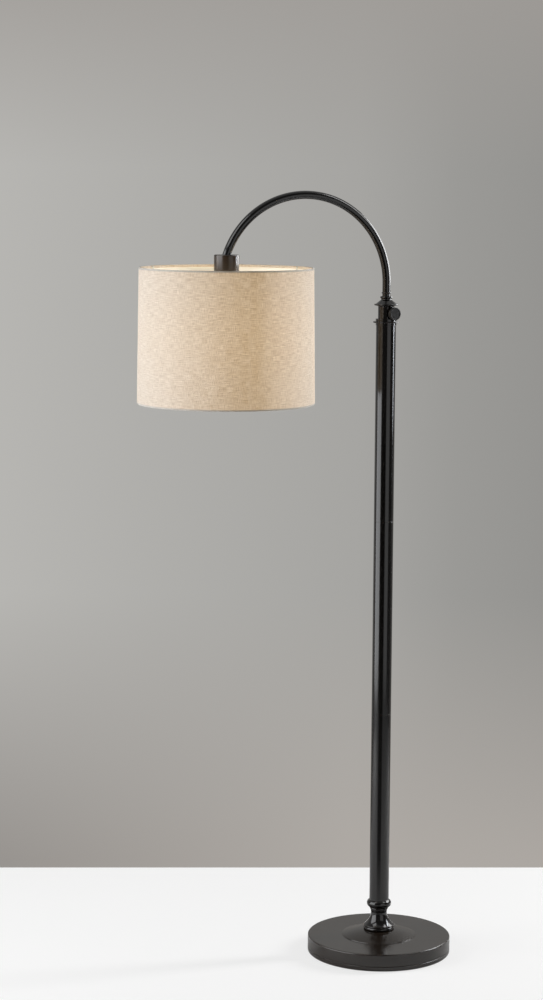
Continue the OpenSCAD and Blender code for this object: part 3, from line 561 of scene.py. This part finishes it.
def turned_piece(name, profile, material, body, node, segments=160,
                 at=(0, 0, 0), along=(0, 0, 1)):
    """A turned piece in one call: its grid, its place, its material and its rubbed edges."""
    points, faces = turned(profile, segments)
    piece = make_piece(name, on_axis(points, at, along), faces, material, body, node)
    add_rubbed(piece, profile, segments)
    return piece


print("rubbed edges ready")


# %% Base cover
def dome(foot, drop, count=28):
    """The dome's outline: the radius falls evenly from the foot to the ring's seat while the height
    rises by one minus a power of what is left, steep at the foot and nearly flat at the top."""
    s = np.linspace(0, 1, count)
    r = foot + (RING_R - foot) * s
    z = FLAT + STEP + (SEAT - FLAT - STEP) * (1 - (1 - s) ** 1.35) - drop
    return list(zip(r, z))


BASE_R, _, SEAT = girth("base_cover")
RING_R = girth("neck_ring")[0]
DOME_H, DOME_R, STEP, SHEET, HOLE = 11.5, 74.0, 1.2, 1.5, 5.5
GROOVE_Z, GROOVE, SKIRT, LIP = 10.5, 0.6, 1, 7
FLAT = SEAT - DOME_H
over, inner = dome(DOME_R - STEP / 2, 0), dome(DOME_R - STEP / 2 - SHEET, SHEET)
outside = [(BASE_R - LIP, SKIRT), (BASE_R, SKIRT, 4.99), (BASE_R, GROOVE_Z - GROOVE),
           (BASE_R - GROOVE, GROOVE_Z), (BASE_R, GROOVE_Z + GROOVE), (BASE_R, FLAT, 2.5),
           (DOME_R, FLAT, 0.5), (over[0][0], FLAT + STEP, 0.5), over[3]]
inside = [inner[3], inner[0], (DOME_R - SHEET, FLAT - SHEET), (BASE_R - SHEET, FLAT - SHEET, 1.0),
          (BASE_R - SHEET, SKIRT + SHEET, 3.4), (BASE_R - LIP, SKIRT + SHEET)]
cover_profile = np.vstack([rounded(outside, steps=9), over[4:], [(HOLE, SEAT), (HOLE, SEAT - SHEET)],
                           inner[:3:-1], rounded(inside)])
base_cover = turned_piece("base_cover_spun", cover_profile, SATIN, "stand", "base_cover", 256)
print("base cover", len(base_cover.data.polygons), "faces")

# %% Cable hole and grommet
inlet = frame["record"]["mounts"][1]["pos_m"]
LUG_BORE, LUG_NECK, LUG_LIP = 3.6, 5.4, 6.8
drill(base_cover, (BASE_R * MM - 0.02, 0, inlet[2]), (1, 0, 0), LUG_NECK + 0.05, 30)
lug = BASE_R - SHEET - 1.4
grommet = rounded([
    (LUG_BORE, lug), (LUG_LIP, lug, 0.5), (LUG_LIP, lug + 0.95, 0.3), (LUG_NECK, lug + 0.95),
    (LUG_NECK, BASE_R), (LUG_LIP, BASE_R, 0.3), (LUG_LIP, BASE_R + 1.4, 0.6),
    (LUG_BORE, BASE_R + 1.4, 0.6), (LUG_BORE, lug)])[:-1]
turned_piece("grommet_moulded", grommet, RUBBER, "stand", "cable_grommet",
             64, at=(0, 0, inlet[2]), along=(1, 0, 0))
print("grommet around", inlet)

# %% Felt pad
felt_r, _, felt_top = girth("base_felt")
felt_points, felt_faces = turned(sleeve(0, felt_r, 0, felt_top, 0.6), 192, closed=False)
ruffle = np.random.default_rng(4).normal(0, 0.00012, felt_points.shape[:2])
felt_points[1:-1, :, 2] += np.where(felt_points[1:-1, :, 2] > 0.001, 0, np.abs(ruffle[1:-1]))
felt_pad = make_piece("felt_pad", felt_points, felt_faces, FELT, "stand", "base_felt", 60)
merge_points(felt_pad.data)
print("felt pad", len(felt_pad.data.polygons), "faces")

# %% [markdown]
# ## The neck
# Four turned pieces are stacked on the tie tube: a flat ring, a flared bell, a thin ring and a
# thick rounded collar that the pole stands in. Each is a closed profile, and the half-round edges
# are arcs.


# %% Neck
def half_round(radius, low, high, up_to=math.pi / 2, count=19):
    """The half-round edge of a disc, from its underside up to an angle of its arc."""
    half, a = (high - low) / 2, np.linspace(-math.pi / 2, up_to, count)
    return np.stack([radius - half + half * np.cos(a), low + half + half * np.sin(a)], 1)


def disc(radius, low, high, bore):
    """A disc with a half-round edge and a bore, as a closed profile."""
    return np.vstack([[(bore, low)], half_round(radius, low, high), [(bore, high)]])


def bell(foot, low, high, throat, flare=24.5, lip=2.5, waist=0.75):
    """The bell's edge: a rounded lip, then a flare whose radius falls to the throat as a power of
    what is left of its height, less a waist that grows with the height cubed. Above the flare the
    waist fades as a cosine."""
    s = np.linspace(0, 1, 40)[1:, None]
    flared = np.hstack([throat + (foot - lip / 2 - throat) * (1 - s) ** 2.2 - waist * s ** 3,
                        low + lip + flare * s])
    t = np.linspace(0, 1, 12)[1:, None]
    rise = high - low - lip - flare
    upper = np.hstack([throat - waist * (1 + np.cos(math.pi * t)) / 2, low + lip + flare + rise * t])
    return np.vstack([half_round(foot, low, low + lip), flared, upper])


POLE_R, FOOT, _ = girth("pole_lower")
bell_r, bell_low, bell_high = girth("neck_bell")
THROAT_R, COLLAR_H = 16.75, 16
bell_edge = bell(bell_r, bell_low, bell_high, THROAT_R)
bell_profile = np.vstack([[(HOLE, bell_low)], bell_edge, [(HOLE, bell_high)]])
collar_r, collar_low, _ = girth("neck_collar")
socket_r, round_r = POLE_R + 0.05, COLLAR_H / 2
meets_pole = math.acos((socket_r - collar_r + round_r) / round_r)
collar_edge = half_round(collar_r, collar_low, collar_low + COLLAR_H, meets_pole, 28)
collar_profile = np.vstack([[(HOLE, collar_low)], collar_edge, [(socket_r, FOOT), (HOLE, FOOT)]])
neck = {"ring": disc(*girth("neck_ring"), HOLE), "bell": bell_profile,
        "seat_ring": disc(*girth("neck_seat_ring"), HOLE), "collar": collar_profile}
for part, profile in neck.items():
    turned_piece(part + "_turned", profile, BRONZE, "stand", "neck_" + part)
print("collar stands on", collar_low, "and holds the pole from", FOOT)

# %% [markdown]
# ## The pole
# Three drawn tubes meet at fine seams. Each tube is a closed wall with edges broken by a quarter of
# a millimetre, because a perfectly sharp edge never catches light.

# %% Pole
POLE_WALL, POLE_EDGE = 1.2, 0.25
for third in ("lower", "middle", "upper"):
    _, low, high = girth("pole_" + third)
    wall = sleeve(POLE_R - POLE_WALL, POLE_R, low, high, POLE_EDGE)
    turned_piece("tube_" + third, wall, BRONZE, "stand", "pole_" + third, 128)
    print(third, "tube", round(low, 1), round(high, 1))

# %% [markdown]
# ## The head collar and its cap
# The collar guides the arm and carries the clamp. Its steps and flange are turned from one bar,
# and the cap above it is spun, with a flared underside, a rounded flange, a cone and a bead.

# %% Head collar
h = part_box("head_collar")[1].z / MM
spigot, step_r, ledge, flange = POLE_R - 1.25, POLE_R + 0.8, POLE_R + 1, POLE_R + 6
BARREL_R, BUSH_R, BORE_R, SCREW_R = 16, 11.1, 8.5, 3.05
ledge_top, flange_top, flange_foot, step_foot, spigot_foot = h - 23, h - 28, h - 31, h - 36, h - 61
collar = [(spigot, spigot_foot), (spigot, step_foot), (step_r, step_foot, 0.3), (step_r, flange_foot),
          (flange, flange_foot, 1.49), (flange, flange_top, 1.49), (ledge, flange_top),
          (ledge, ledge_top, 0.5), (BARREL_R, ledge_top), (BARREL_R, h), (BUSH_R, h),
          (BUSH_R, spigot_foot + 3), (BORE_R, spigot_foot + 3), (BORE_R, spigot_foot),
          (spigot, spigot_foot)]
head_collar = turned_piece("head_collar_turned", rounded(collar)[:-1], BRONZE, "stand",
                           "head_collar")
CLAMP = math.radians(281.5)
clamp_axis = np.array([math.cos(CLAMP), math.sin(CLAMP), 0])
knob_at = (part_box("clamp_knob")[0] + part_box("clamp_knob")[1]) / 2
drill(head_collar, clamp_axis * 0.009 + [0, 0, knob_at.z], clamp_axis, SCREW_R, 12)


def flare(r0, z0, r1, z1, count=22):
    """A quarter of an ellipse that leaves (r0, z0) upright and reaches (r1, z1) flat."""
    a = np.linspace(0, math.pi / 2, count)
    return np.stack([r0 + (r1 - r0) * (1 - np.cos(a)), z0 + (z1 - z0) * np.sin(a)], 1)


CAP_THROAT, BEAD_R, CAP_FLANGE_R = 10.1, 12.1, 23.6
brim_foot, brim_top, bead_middle = h + 2.8, h + 6, h + 18.6
cone = rounded([(CAP_FLANGE_R - 2.4, brim_top), (20.6, brim_top, 0.4), (CAP_THROAT, h + 14.3, 1.6),
                (CAP_THROAT, h + 16.1)])
bead_edge = (half_round(BEAD_R, bead_middle - 2, bead_middle + 2) - [0, bead_middle]) * [1, 1.2]
cap_profile = np.vstack([
    [(BORE_R, h)], flare(BARREL_R, h, 22, brim_foot),
    half_round(CAP_FLANGE_R, brim_foot, brim_top)[1:-1], cone, bead_edge + [0, bead_middle],
    [(BORE_R, h + 21)]])
turned_piece("head_cap_spun", cap_profile, BRONZE, "stand", "head_cap")
print("head collar's top at", round(h, 2))

# %% [markdown]
# ## The clamp knob
# The knob is a moulded disc with rounded edges and a short boss, turned on the clamp screw's own
# axis, which points a little to the right of the camera.

# %% Clamp knob
KNOB_R, BOSS_R, RECESS_R = 12.5, 5.5, 10.4
boss_in, knob_in, screw_end, knob_out = 17.5, 25.75, 29.75, 32.75
recess = knob_out - 0.4
knob_profile = rounded([
    (SCREW_R, boss_in), (BOSS_R, boss_in, 0.4), (BOSS_R, knob_in, 0.6), (KNOB_R, knob_in, 1.1),
    (KNOB_R, knob_out, 1.1), (RECESS_R, knob_out, 0.4), (RECESS_R - 0.4, recess, 0.3), (0, recess),
    (0, screw_end), (SCREW_R, screw_end), (SCREW_R, boss_in)])[:-1]
knob = turned_piece("knob_moulded", knob_profile, BLACK, "clamp_turner", "clamp_knob",
                    128, at=(0, 0, knob_at.z), along=clamp_axis)
merge_points(knob.data)
print("knob axis at height", round(knob_at.z, 4))

# %% [markdown]
# ## The arm
# The arm is one tube: straight inside the pole, then bent to an arch. A circle carried along the
# path and turned by its tangent gives it, and the last circle is cut level to sit on the cup.


# %% Arm
def arm_path(count=120):
    """Points and directions of the arm's middle line: a straight rise from the foot, then an arc
    around a centre one radius towards the shade."""
    foot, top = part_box("arm_tube")[0].z, ARCH_HEIGHT
    rise = np.linspace(foot, top, 12)[:-1]
    straight = np.stack([0 * rise, 0 * rise, rise], 1)
    a = np.linspace(0, ARCH_SWEEP, count)
    bend = np.stack([ARCH_RADIUS * (np.cos(a) - 1), 0 * a, top + ARCH_RADIUS * np.sin(a)], 1)
    upright = np.tile([0.0, 0, 1], (len(rise), 1))
    heading = np.vstack([upright, np.stack([-np.sin(a), 0 * a, np.cos(a)], 1)])
    return np.vstack([straight, bend]), heading


ARCH_RADIUS, ARCH_SWEEP = 0.1705, math.radians(160.4)
TUBE_R, TUBE_BORE_R, TUBE_COLUMNS = 0.008, 0.0068, 64
ARCH_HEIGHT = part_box("arm_tube")[1].z - ARCH_RADIUS - TUBE_R
middle, heading = arm_path()
round_angle = angles(TUBE_COLUMNS)
across_y = np.array([0.0, 1, 0])


def ring_points(radius):
    """Circles of one radius around each point of the path. One axis is Y and the other is square
    to Y and to the path's direction."""
    outward = np.cross(across_y, heading)
    circles = (middle[:, None] + radius * (np.cos(round_angle)[None, :, None] * outward[:, None]
                                          + np.sin(round_angle)[None, :, None] * across_y))
    last = circles[-1]
    circles[-1] = last + heading[-1] * ((middle[-1, 2] - last[:, 2]) / heading[-1, 2])[:, None]
    return circles


arm_points = np.concatenate([ring_points(TUBE_R), ring_points(TUBE_BORE_R)[::-1]])
arm_faces = grid_faces(len(arm_points), TUBE_COLUMNS, closed_rows=True)
make_piece("arm_bent", arm_points, arm_faces, BRONZE, "arm", "arm_tube")
turned_piece("stop_ring_turned", disc(*girth("arm_stop_ring"), 8.05), BRONZE, "arm",
             "arm_stop_ring", 96)
print("arm ends at", middle[-1].round(4))

# %% [markdown]
# ## Socket cup and what hangs in the shade
# The cup is a drawn shell with a rounded shoulder. Below it the lampholder's clamp ring has grip
# ribs, made by letting the radius swell and sink with the angle, and the bulb's cap has a screw
# thread, made by letting the radius follow a helix.

# %% Socket cup
cup_x = float(middle[-1, 0])
cup_r, cup_low, cup_high = girth("socket_cup")
CUP_HOLE, CUP_WALL = 5.05, 1.2
cup = [(cup_r, cup_low), (cup_r, cup_high, 2.0), (CUP_HOLE, cup_high), (CUP_HOLE, cup_high - CUP_WALL),
       (cup_r - CUP_WALL, cup_high - CUP_WALL, 0.8), (cup_r - CUP_WALL, cup_low), (cup_r, cup_low)]
socket_cup = turned_piece("cup_drawn", rounded(cup)[:-1], BULB_LIT_BRONZE, "arm", "socket_cup",
                          128, at=(cup_x, 0, 0))
switch_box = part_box("switch_key")
switch_z = (switch_box[0].z + switch_box[1].z) / 2
drill(socket_cup, (cup_x, 0.015, switch_z), (0, 1, 0), 2.0, 15)
print("cup on x", round(cup_x, 4), "switch at", round(switch_z, 4))

# %% Clamp ring with grip ribs
ring_r, ring_low, ring_high = girth("shade_clamp_ring")
RIBS, RIB_DEPTH, RIB_COLUMNS, RING_BORE = 36, 0.45, 288, 20.05
points, faces = turned(sleeve(RING_BORE, ring_r, ring_low, ring_high, 0.8), RIB_COLUMNS)
swell = RIB_DEPTH * MM * (0.5 - 0.5 * np.cos(RIBS * angles(RIB_COLUMNS)))
outer = np.linalg.norm(points[..., :2], axis=-1, keepdims=True)
points[..., :2] *= 1 - np.where(outer > 0.022, swell[None, :, None] / outer, 0)
make_piece("clamp_ring_ribbed", points + [cup_x, 0, 0], faces, BLACK, "arm",
           "shade_clamp_ring")
print("ribs", RIBS)

# %% Bulb's cap with its thread
_, cap_low, cap_high = girth("bulb_cap")
THREAD_PITCH, THREAD_DEPTH, THREAD_R, THREAD_ROWS, AROUND = 3.6, 0.4, 12.6, 90, 96
thread_top = cap_high - 3.2
rise = np.linspace(cap_low, thread_top, THREAD_ROWS)
thread = np.vstack([
    np.stack([0 * rise + THREAD_R, rise], 1),
    [(11.6, cap_high - 1.4), (9.0, cap_high), (0, cap_high), (0, cap_high - 1), (11.2, cap_high - 3.4),
     (11.4, cap_low)]])
points, faces = turned(thread, AROUND)
turn = angles(AROUND)
height = thread[:THREAD_ROWS, 1][:, None]
helix = THREAD_DEPTH * MM * np.cos(turn - math.tau * height / THREAD_PITCH)
fade = np.clip(np.minimum(height - cap_low, thread_top - height) / 2, 0, 1)
points[:THREAD_ROWS, :, 0] += helix * fade * np.cos(turn)
points[:THREAD_ROWS, :, 1] += helix * fade * np.sin(turn)
bulb_cap = make_piece("bulb_cap_threaded", points + [cup_x, 0, 0], faces, STEEL, "arm",
                      "bulb_cap")
merge_points(bulb_cap.data)
print("thread pitch", THREAD_PITCH)


# %% Bulb's globe
def globe(wall=0.0, count=60):
    """The bulb's outline: a sphere up to where a straight line to the neck leaves it along its
    tangent, then that line."""
    radius, neck = GLOBE_R - wall, GLOBE_NECK_R - wall
    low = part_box("bulb_glass")[0].z / MM
    centre = low + GLOBE_R
    rise = cap_low - centre
    leave = math.atan2(rise, neck) - math.acos(radius / math.hypot(neck, rise))
    a = np.linspace(-math.pi / 2, leave, count)
    round_part = np.stack([np.maximum(radius * np.cos(a), 0), centre + radius * np.sin(a)], 1)
    s = np.linspace(0, 1, 10)[1:, None]
    straight = round_part[-1] + s * (np.array([neck, cap_low]) - round_part[-1])
    return np.vstack([round_part, straight])


GLOBE_R, GLOBE_NECK_R, GLASS_WALL = 30, 11.95, 0.8
stem_top = cap_low + 6
glass_profile = np.vstack([globe(), [(11.35, stem_top), (10.6, stem_top)], globe(GLASS_WALL)[::-1]])
points, faces = turned(glass_profile, AROUND, closed=False)
bulb = make_piece("bulb_globe", points + [cup_x, 0, 0], faces, GLASS, "arm",
                  "bulb_glass", 60)
merge_points(bulb.data)
print("bulb", len(bulb.data.polygons), "faces")


# %% Switch key
def key_points(rows, columns):
    """A round hub that flattens to a blade: each slice is a superellipse whose thickness falls from
    the hub's radius to the blade's, and whose ends draw in as a quarter circle."""
    t = np.linspace(0, 1, rows)[:, None]
    a = angles(columns)
    flatten = np.clip((t - 0.28) / 0.16, 0, 1)
    flatten = flatten * flatten * (3 - 2 * flatten)
    close = np.sqrt(np.clip(1 - np.clip((np.abs(t - 0.5) - 0.42) / 0.08, 0, 1) ** 2, 0, 1)) * 0.12 + 0.88
    close = np.where((t == 0) | (t == 1), 0, close)
    power = 2 / (2 + 1.5 * flatten)
    wide = HUB_R * close * np.sign(np.cos(a)) * np.abs(np.cos(a)) ** power
    thick = (HUB_R - 3.0 * flatten) * close * np.sign(np.sin(a)) * np.abs(np.sin(a)) ** power
    return np.stack([wide, thick, KEY_LENGTH * t + 0 * a], -1) * MM


HUB_R, KEY_LENGTH, KEY_ROWS, KEY_COLUMNS, SHAFT_R, SHAFT_LENGTH = 5.0, 14, 40, 64, 1.5, 33
key = key_points(KEY_ROWS, KEY_COLUMNS)
key_start = switch_box[1].y - KEY_LENGTH * MM
shaft, shaft_faces = rod(SHAFT_R, SHAFT_LENGTH)
both = np.vstack([on_axis(key, (cup_x, key_start, switch_z), (0, 1, 0)),
                  on_axis(shaft, (cup_x, -0.005, switch_z), (0, 1, 0))])
both_faces = np.vstack([grid_faces(KEY_ROWS, KEY_COLUMNS), shaft_faces + KEY_ROWS * KEY_COLUMNS])
switch = make_piece("switch_key_moulded", both, both_faces, BLACK, "switch", "switch_key")
merge_points(switch.data)
print("switch key from y", round(key_start, 4))

# %% [markdown]
# ## The linen shade
# The linen is one strip wrapped round the drum. Its ends lap in a plain vertical seam, and its
# long edges turn in over the wire rings. The strip is a grid: one direction runs round the drum, a
# little past one full turn for the lap, and the other across the strip. Solidify gives the cloth
# its thickness, and notches in the hem let the spokes reach the ring.


# %% Linen shade
def shade_section(shade_low, shade_high, low_r, high_r, hem=2.6, bend=2.4):
    """The cloth's way across the strip, in millimetres: from inside at the bottom round the lower
    wire, up the outside and round the upper wire, with a half circle of radius bend at each."""
    a = np.linspace(0, math.pi, 14)[:, None]
    low_round = np.array([low_r - bend, shade_low + bend]) + bend * np.hstack([-np.cos(a), -np.sin(a)])
    high_round = np.array([high_r - bend, shade_high - bend]) + bend * np.hstack([np.cos(a), np.sin(a)])
    wall = low_round[-1] + np.linspace(0, 1, 26)[1:-1, None] * (high_round[0] - low_round[-1])
    inner_low = low_round[0] + np.linspace(hem, 0, 4)[:-1, None] * [0, 1]
    inner_high = high_round[-1] - np.linspace(0, hem, 4)[1:, None] * [0, 1]
    return np.vstack([inner_low, low_round, wall, high_round, inner_high])


SEAM, COLUMNS, CLOTH, INSET = math.radians(265.5), 640, 0.00045, 0.05
section = shade_section(SHADE_FOOT, SHADE_TOP, SHADE_R - INSET, SHADE_R - INSET - TAPER)
around = SEAM + np.linspace(0, math.tau + LAP, COLUMNS)
lift = np.clip((around - SEAM - math.tau + 0.02) / 0.02, 0, 1) * 0.5
wave = 0.10 * np.sin(3 * around + 0.7) + 0.05 * np.sin(7 * around + 2.1)
radius = section[:, :1] + lift + wave
cloth = np.stack([radius * np.cos(around), radius * np.sin(around), section[:, 1:] + 0 * around], -1) * MM
cloth_faces = grid_faces(len(section), COLUMNS, closed_columns=False)
print("strip", cloth.shape, "section points", len(section))

# %% Notches for the spokes, UV map, thickness
NOTCH_HALF, FIRST_SPOKE = 2.3, 12.4
spoke_angles = np.radians(FIRST_SPOKE + np.array([0, 120, 240]))
face_row, face_column = np.divmod(np.arange(len(cloth_faces)), COLUMNS - 1)
gap = np.abs((around[face_column][:, None] - spoke_angles + math.pi) % math.tau - math.pi).min(1)
in_top_hem = face_row > len(section) - 9
cloth_faces = cloth_faces[~((gap * SHADE_R < NOTCH_HALF) & in_top_hem)]
linen_shade = make_piece("linen_drum", cloth + [cup_x, 0, 0], cloth_faces, LINEN, "arm",
                         "shade_linen", 80)
along_section = np.concatenate([[0], np.cumsum(np.linalg.norm(np.diff(section, axis=0), axis=1))]) * MM
along_girth = (around[None, :] - SEAM) * MEAN_R
uv_grid = np.stack(np.broadcast_arrays(along_girth, along_section[:, None]), -1).reshape(-1, 2)
corner_of = np.zeros(len(linen_shade.data.loops), np.int32)
linen_shade.data.loops.foreach_get("vertex_index", corner_of)
uv_layer = linen_shade.data.uv_layers.new(name="yarns")
uv_layer.data.foreach_set("uv", uv_grid[corner_of].astype(np.float32).ravel())
thickness = linen_shade.modifiers.new("thickness", "SOLIDIFY")
thickness.thickness, thickness.offset = CLOTH, -1
apply_modifiers(linen_shade)

# %% [markdown]
# ## Finishes for the pieces that keep their own shape
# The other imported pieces, such as the iron weight, the tie tube and the rings, already have the
# right shape. Each one only gets its finish.

# %% Carried-over pieces
finishes = {
    IRON: ["base_weight"],
    STEEL: ["tie_tube", "tie_washer", "tie_nut", "pole_foot_plug", "clamp_screw", "arm_snap_ring",
            "arm_foot", "arm_end_nipple", "cup_lock_nut", "shade_top_ring", "shade_bottom_ring"],
    BRONZE: ["pole_coupling_lower", "pole_coupling_upper"],
    ENAMEL: ["shade_spider"],
    NYLON: ["guide_bush", "clamp_pad", "arm_guide_ring"],
    BLACK: ["lampholder_housing"],
    PORCELAIN: ["lampholder_body"],
    BRASS: ["screw_shell", "centre_contact", "switch_leaf", "switch_drum", "bulb_contact"],
    LINING: ["shade_lining"],
}
for material, names in finishes.items():
    for node_name in names:
        node_mesh = frame["nodes"][node_name].data
        node_mesh.materials.clear()
        node_mesh.materials.append(material)
print("finished", sum(len(names) for names in finishes.values()), "carried-over pieces")

# %% [markdown]
# ## Floor, background and light
# The photo shows a studio: a white floor, a grey wall close behind, a wide soft panel on the left, a
# dimmer one on the right and a narrow bright one high on the right. The wall is the world's colour,
# so it never hides the lamp from behind, and the floor ends where the photo's floor meets it.


# %% Floor
def floor_material():
    """Most of what the camera sees is the floor's own white and the rest is its lit colour, so the
    floor stays white and keeps a soft shadow. In reflections the floor ends in the dark a step
    before the lamp, where the camera stands."""
    material, net, where = shader("studio_floor", Roughness=0.8)
    sheet = net.blend(net.noise(where, 9, detail=2), (0.90, 0.90, 0.90), (0.92, 0.92, 0.92))
    nearer, aside = net.dot(where, -ahead_flat), net.dot(where, side_flat)
    bearing = net.calculate("DIVIDE", aside, net.calculate("MAXIMUM", nearer, 0.05))
    path = net.nodes.new("ShaderNodeLightPath").outputs
    dark = net.times(path["Is Glossy Ray"], net.remap(nearer, 0.30, 0.75, 0, 0.92),
                     net.remap(bearing, -0.75, -0.50), net.remap(bearing, 0.10, 0.30, 1, 0))
    net.give(Base_Color=net.blend(dark, sheet, (0.0, 0.0, 0.0)))
    white = net.add("Emission", "Emission", Color=(0.96, 0.96, 0.958))
    mix = net.nodes.new("ShaderNodeMixShader")
    share, lit = net.times(path["Is Camera Ray"], 0.75), net.nodes["Principled BSDF"].outputs["BSDF"]
    for socket, part in zip(mix.inputs, (share, lit, white)):
        net.feed(socket, part)
    net.feed(net.nodes["Material Output"].inputs["Surface"], mix.outputs["Shader"])
    return material


WALL_ROW, HALF_WIDTH, DEPTH = 867.5, 7, 12
wall_left, wall_right = floor_point(0, WALL_ROW), floor_point(IMAGE[0], WALL_ROW)
wall_line = (wall_right - wall_left) / np.linalg.norm(wall_right - wall_left)
near = np.array([wall_line[1], -wall_line[0], 0])
wall_middle = (wall_left + wall_right) / 2
corners = [wall_middle + across * HALF_WIDTH * wall_line + forward * DEPTH * near
           for across, forward in ((-1, 0), (-1, 1), (1, 1), (1, 0))]
floor = mesh_object("floor", corners, [(0, 1, 2, 3)])
floor.data.materials.append(floor_material())
print("wall line from", wall_left.round(2), "to", wall_right.round(2))


# %% World
def wall_tones(net, sideways, height):
    """The wall as the camera sees it: a ramp of greys from left to right, a glow from the floor at
    the bottom and a darker band at the top."""
    ramp = net.nodes.new("ShaderNodeValToRGB")
    tones = ((0.0, 0.470), (0.3, 0.425), (0.66, 0.380), (0.84, 0.325), (1.0, 0.300))
    while len(ramp.color_ramp.elements) < len(tones):
        ramp.color_ramp.elements.new(0.5)
    for element, (place, tone) in zip(ramp.color_ramp.elements, tones):
        element.position, element.color = place, (tone, tone * 0.985, tone * 0.945, 1)
    net.feed(ramp.inputs["Fac"], net.remap(sideways, -0.105, 0.105))
    rightness = net.remap(sideways, -0.105, 0.03)
    floor_glow = net.blend(rightness, (0.295, 0.275, 0.258), (0.425, 0.396, 0.368))
    wall = net.blend(net.remap(height, -0.165, -0.265, 0, 0.9), ramp.outputs["Color"], floor_glow)
    return net.blend(net.remap(height, 0.0, 0.065, 0, 0.75), wall, (0.347, 0.328, 0.309))


def studio_world(ambient=0.05):
    """Camera, glossy and transmission rays see the grey wall, lighter on the left. Other rays see
    even ambient light. Glossy rays that go back past the camera see a dark room."""
    world = bpy.data.worlds.new("studio")
    studio.world = world
    world.use_nodes = True
    net = Net(world.node_tree)
    direction = net.add("TexCoord", "Generated")
    sideways, height, forwards = (net.dot(direction, axis) for axis in (side_flat, (0, 0, 1), ahead_flat))
    wall = wall_tones(net, sideways, height)
    path = net.nodes.new("ShaderNodeLightPath").outputs
    raised = net.blend(net.remap(height, 0.12, 0.26), wall, (0.47, 0.465, 0.455))
    gloss = net.blend(net.remap(forwards, -0.2, 0.7, 0.22, 1), (0.0, 0.0, 0.0), raised)
    seen = net.blend(path["Is Glossy Ray"], wall, gloss)
    kinds = [path[f"Is {kind} Ray"] for kind in ("Camera", "Glossy", "Transmission")]
    shown = net.calculate("MAXIMUM", *kinds)
    net.feed(net.nodes["Background"].inputs["Color"], net.blend(shown, (ambient, ambient, ambient), seen))


studio_world()
print("world ready")


# %% Lamps
def panel(name, bearing, distance, height, width, tall, radiance, colour=(1, 1, 1), seen_in="glossy"):
    """A rectangular area lamp. Bearing is in degrees to the right of the way from the lamp to the
    camera. Its power is pi times its area times the brightness that it should show. It lights
    glossy surfaces, matt ones or both."""
    data = bpy.data.lights.new(name, "AREA")
    data.shape, data.size, data.size_y, data.color = "RECTANGLE", width, tall, colour
    data.energy = math.pi * width * tall * radiance
    lamp = bpy.data.objects.new(name, data)
    a = math.radians(bearing)
    out = -ahead_flat * math.cos(a) + side_flat * math.sin(a)
    inward = np.stack([np.cross([0, 0, 1], out), [0, 0, 1], out, out * distance + [0, 0, height]], 1)
    lamp.matrix_world = Matrix(np.vstack([inward, [0, 0, 0, 1]]))
    studio.collection.objects.link(lamp)
    lamp.visible_camera = False
    lamp.visible_glossy = seen_in != "matt"
    lamp.visible_diffuse = seen_in != "glossy"
    return lamp


panel("left_panel", -71, 2.2, 1.22, 2.3, 2.3, 3.6, (0.97, 0.98, 1.0))
panel("right_panel", 35, 2.4, 1.05, 1.8, 2.0, 0.75)
panel("right_strip", 103, 2.2, 1.70, 0.26, 1.7, 12.0, (0.88, 0.93, 1.0))
panel("high_strip", 103, 2.1, 1.75, 0.24, 1.3, 10.0, (0.92, 0.95, 1.0))
panel("back_right", 130, 2.2, 1.90, 1.5, 1.3, 7.0)
panel("upper_left", -60, 1.5, 2.9, 1.2, 1.6, 3.0)
panel("upper_right", 85, 1.5, 2.9, 0.7, 1.6, 6.0)
panel("left_soft", -75, 2.0, 1.22, 1.1, 2.3, 5.4, seen_in="matt")
panel("right_soft", 106, 2.1, 1.55, 0.3, 1.4, 50.0, seen_in="matt")
overhead = panel("overhead", 0, 0.1, 3.6, 3.0, 3.0, 0.3, seen_in="both")
overhead.matrix_world = Matrix.Translation((0, 0.2, 3.6))

# %% Finish
studio.view_settings.view_transform = "Standard"
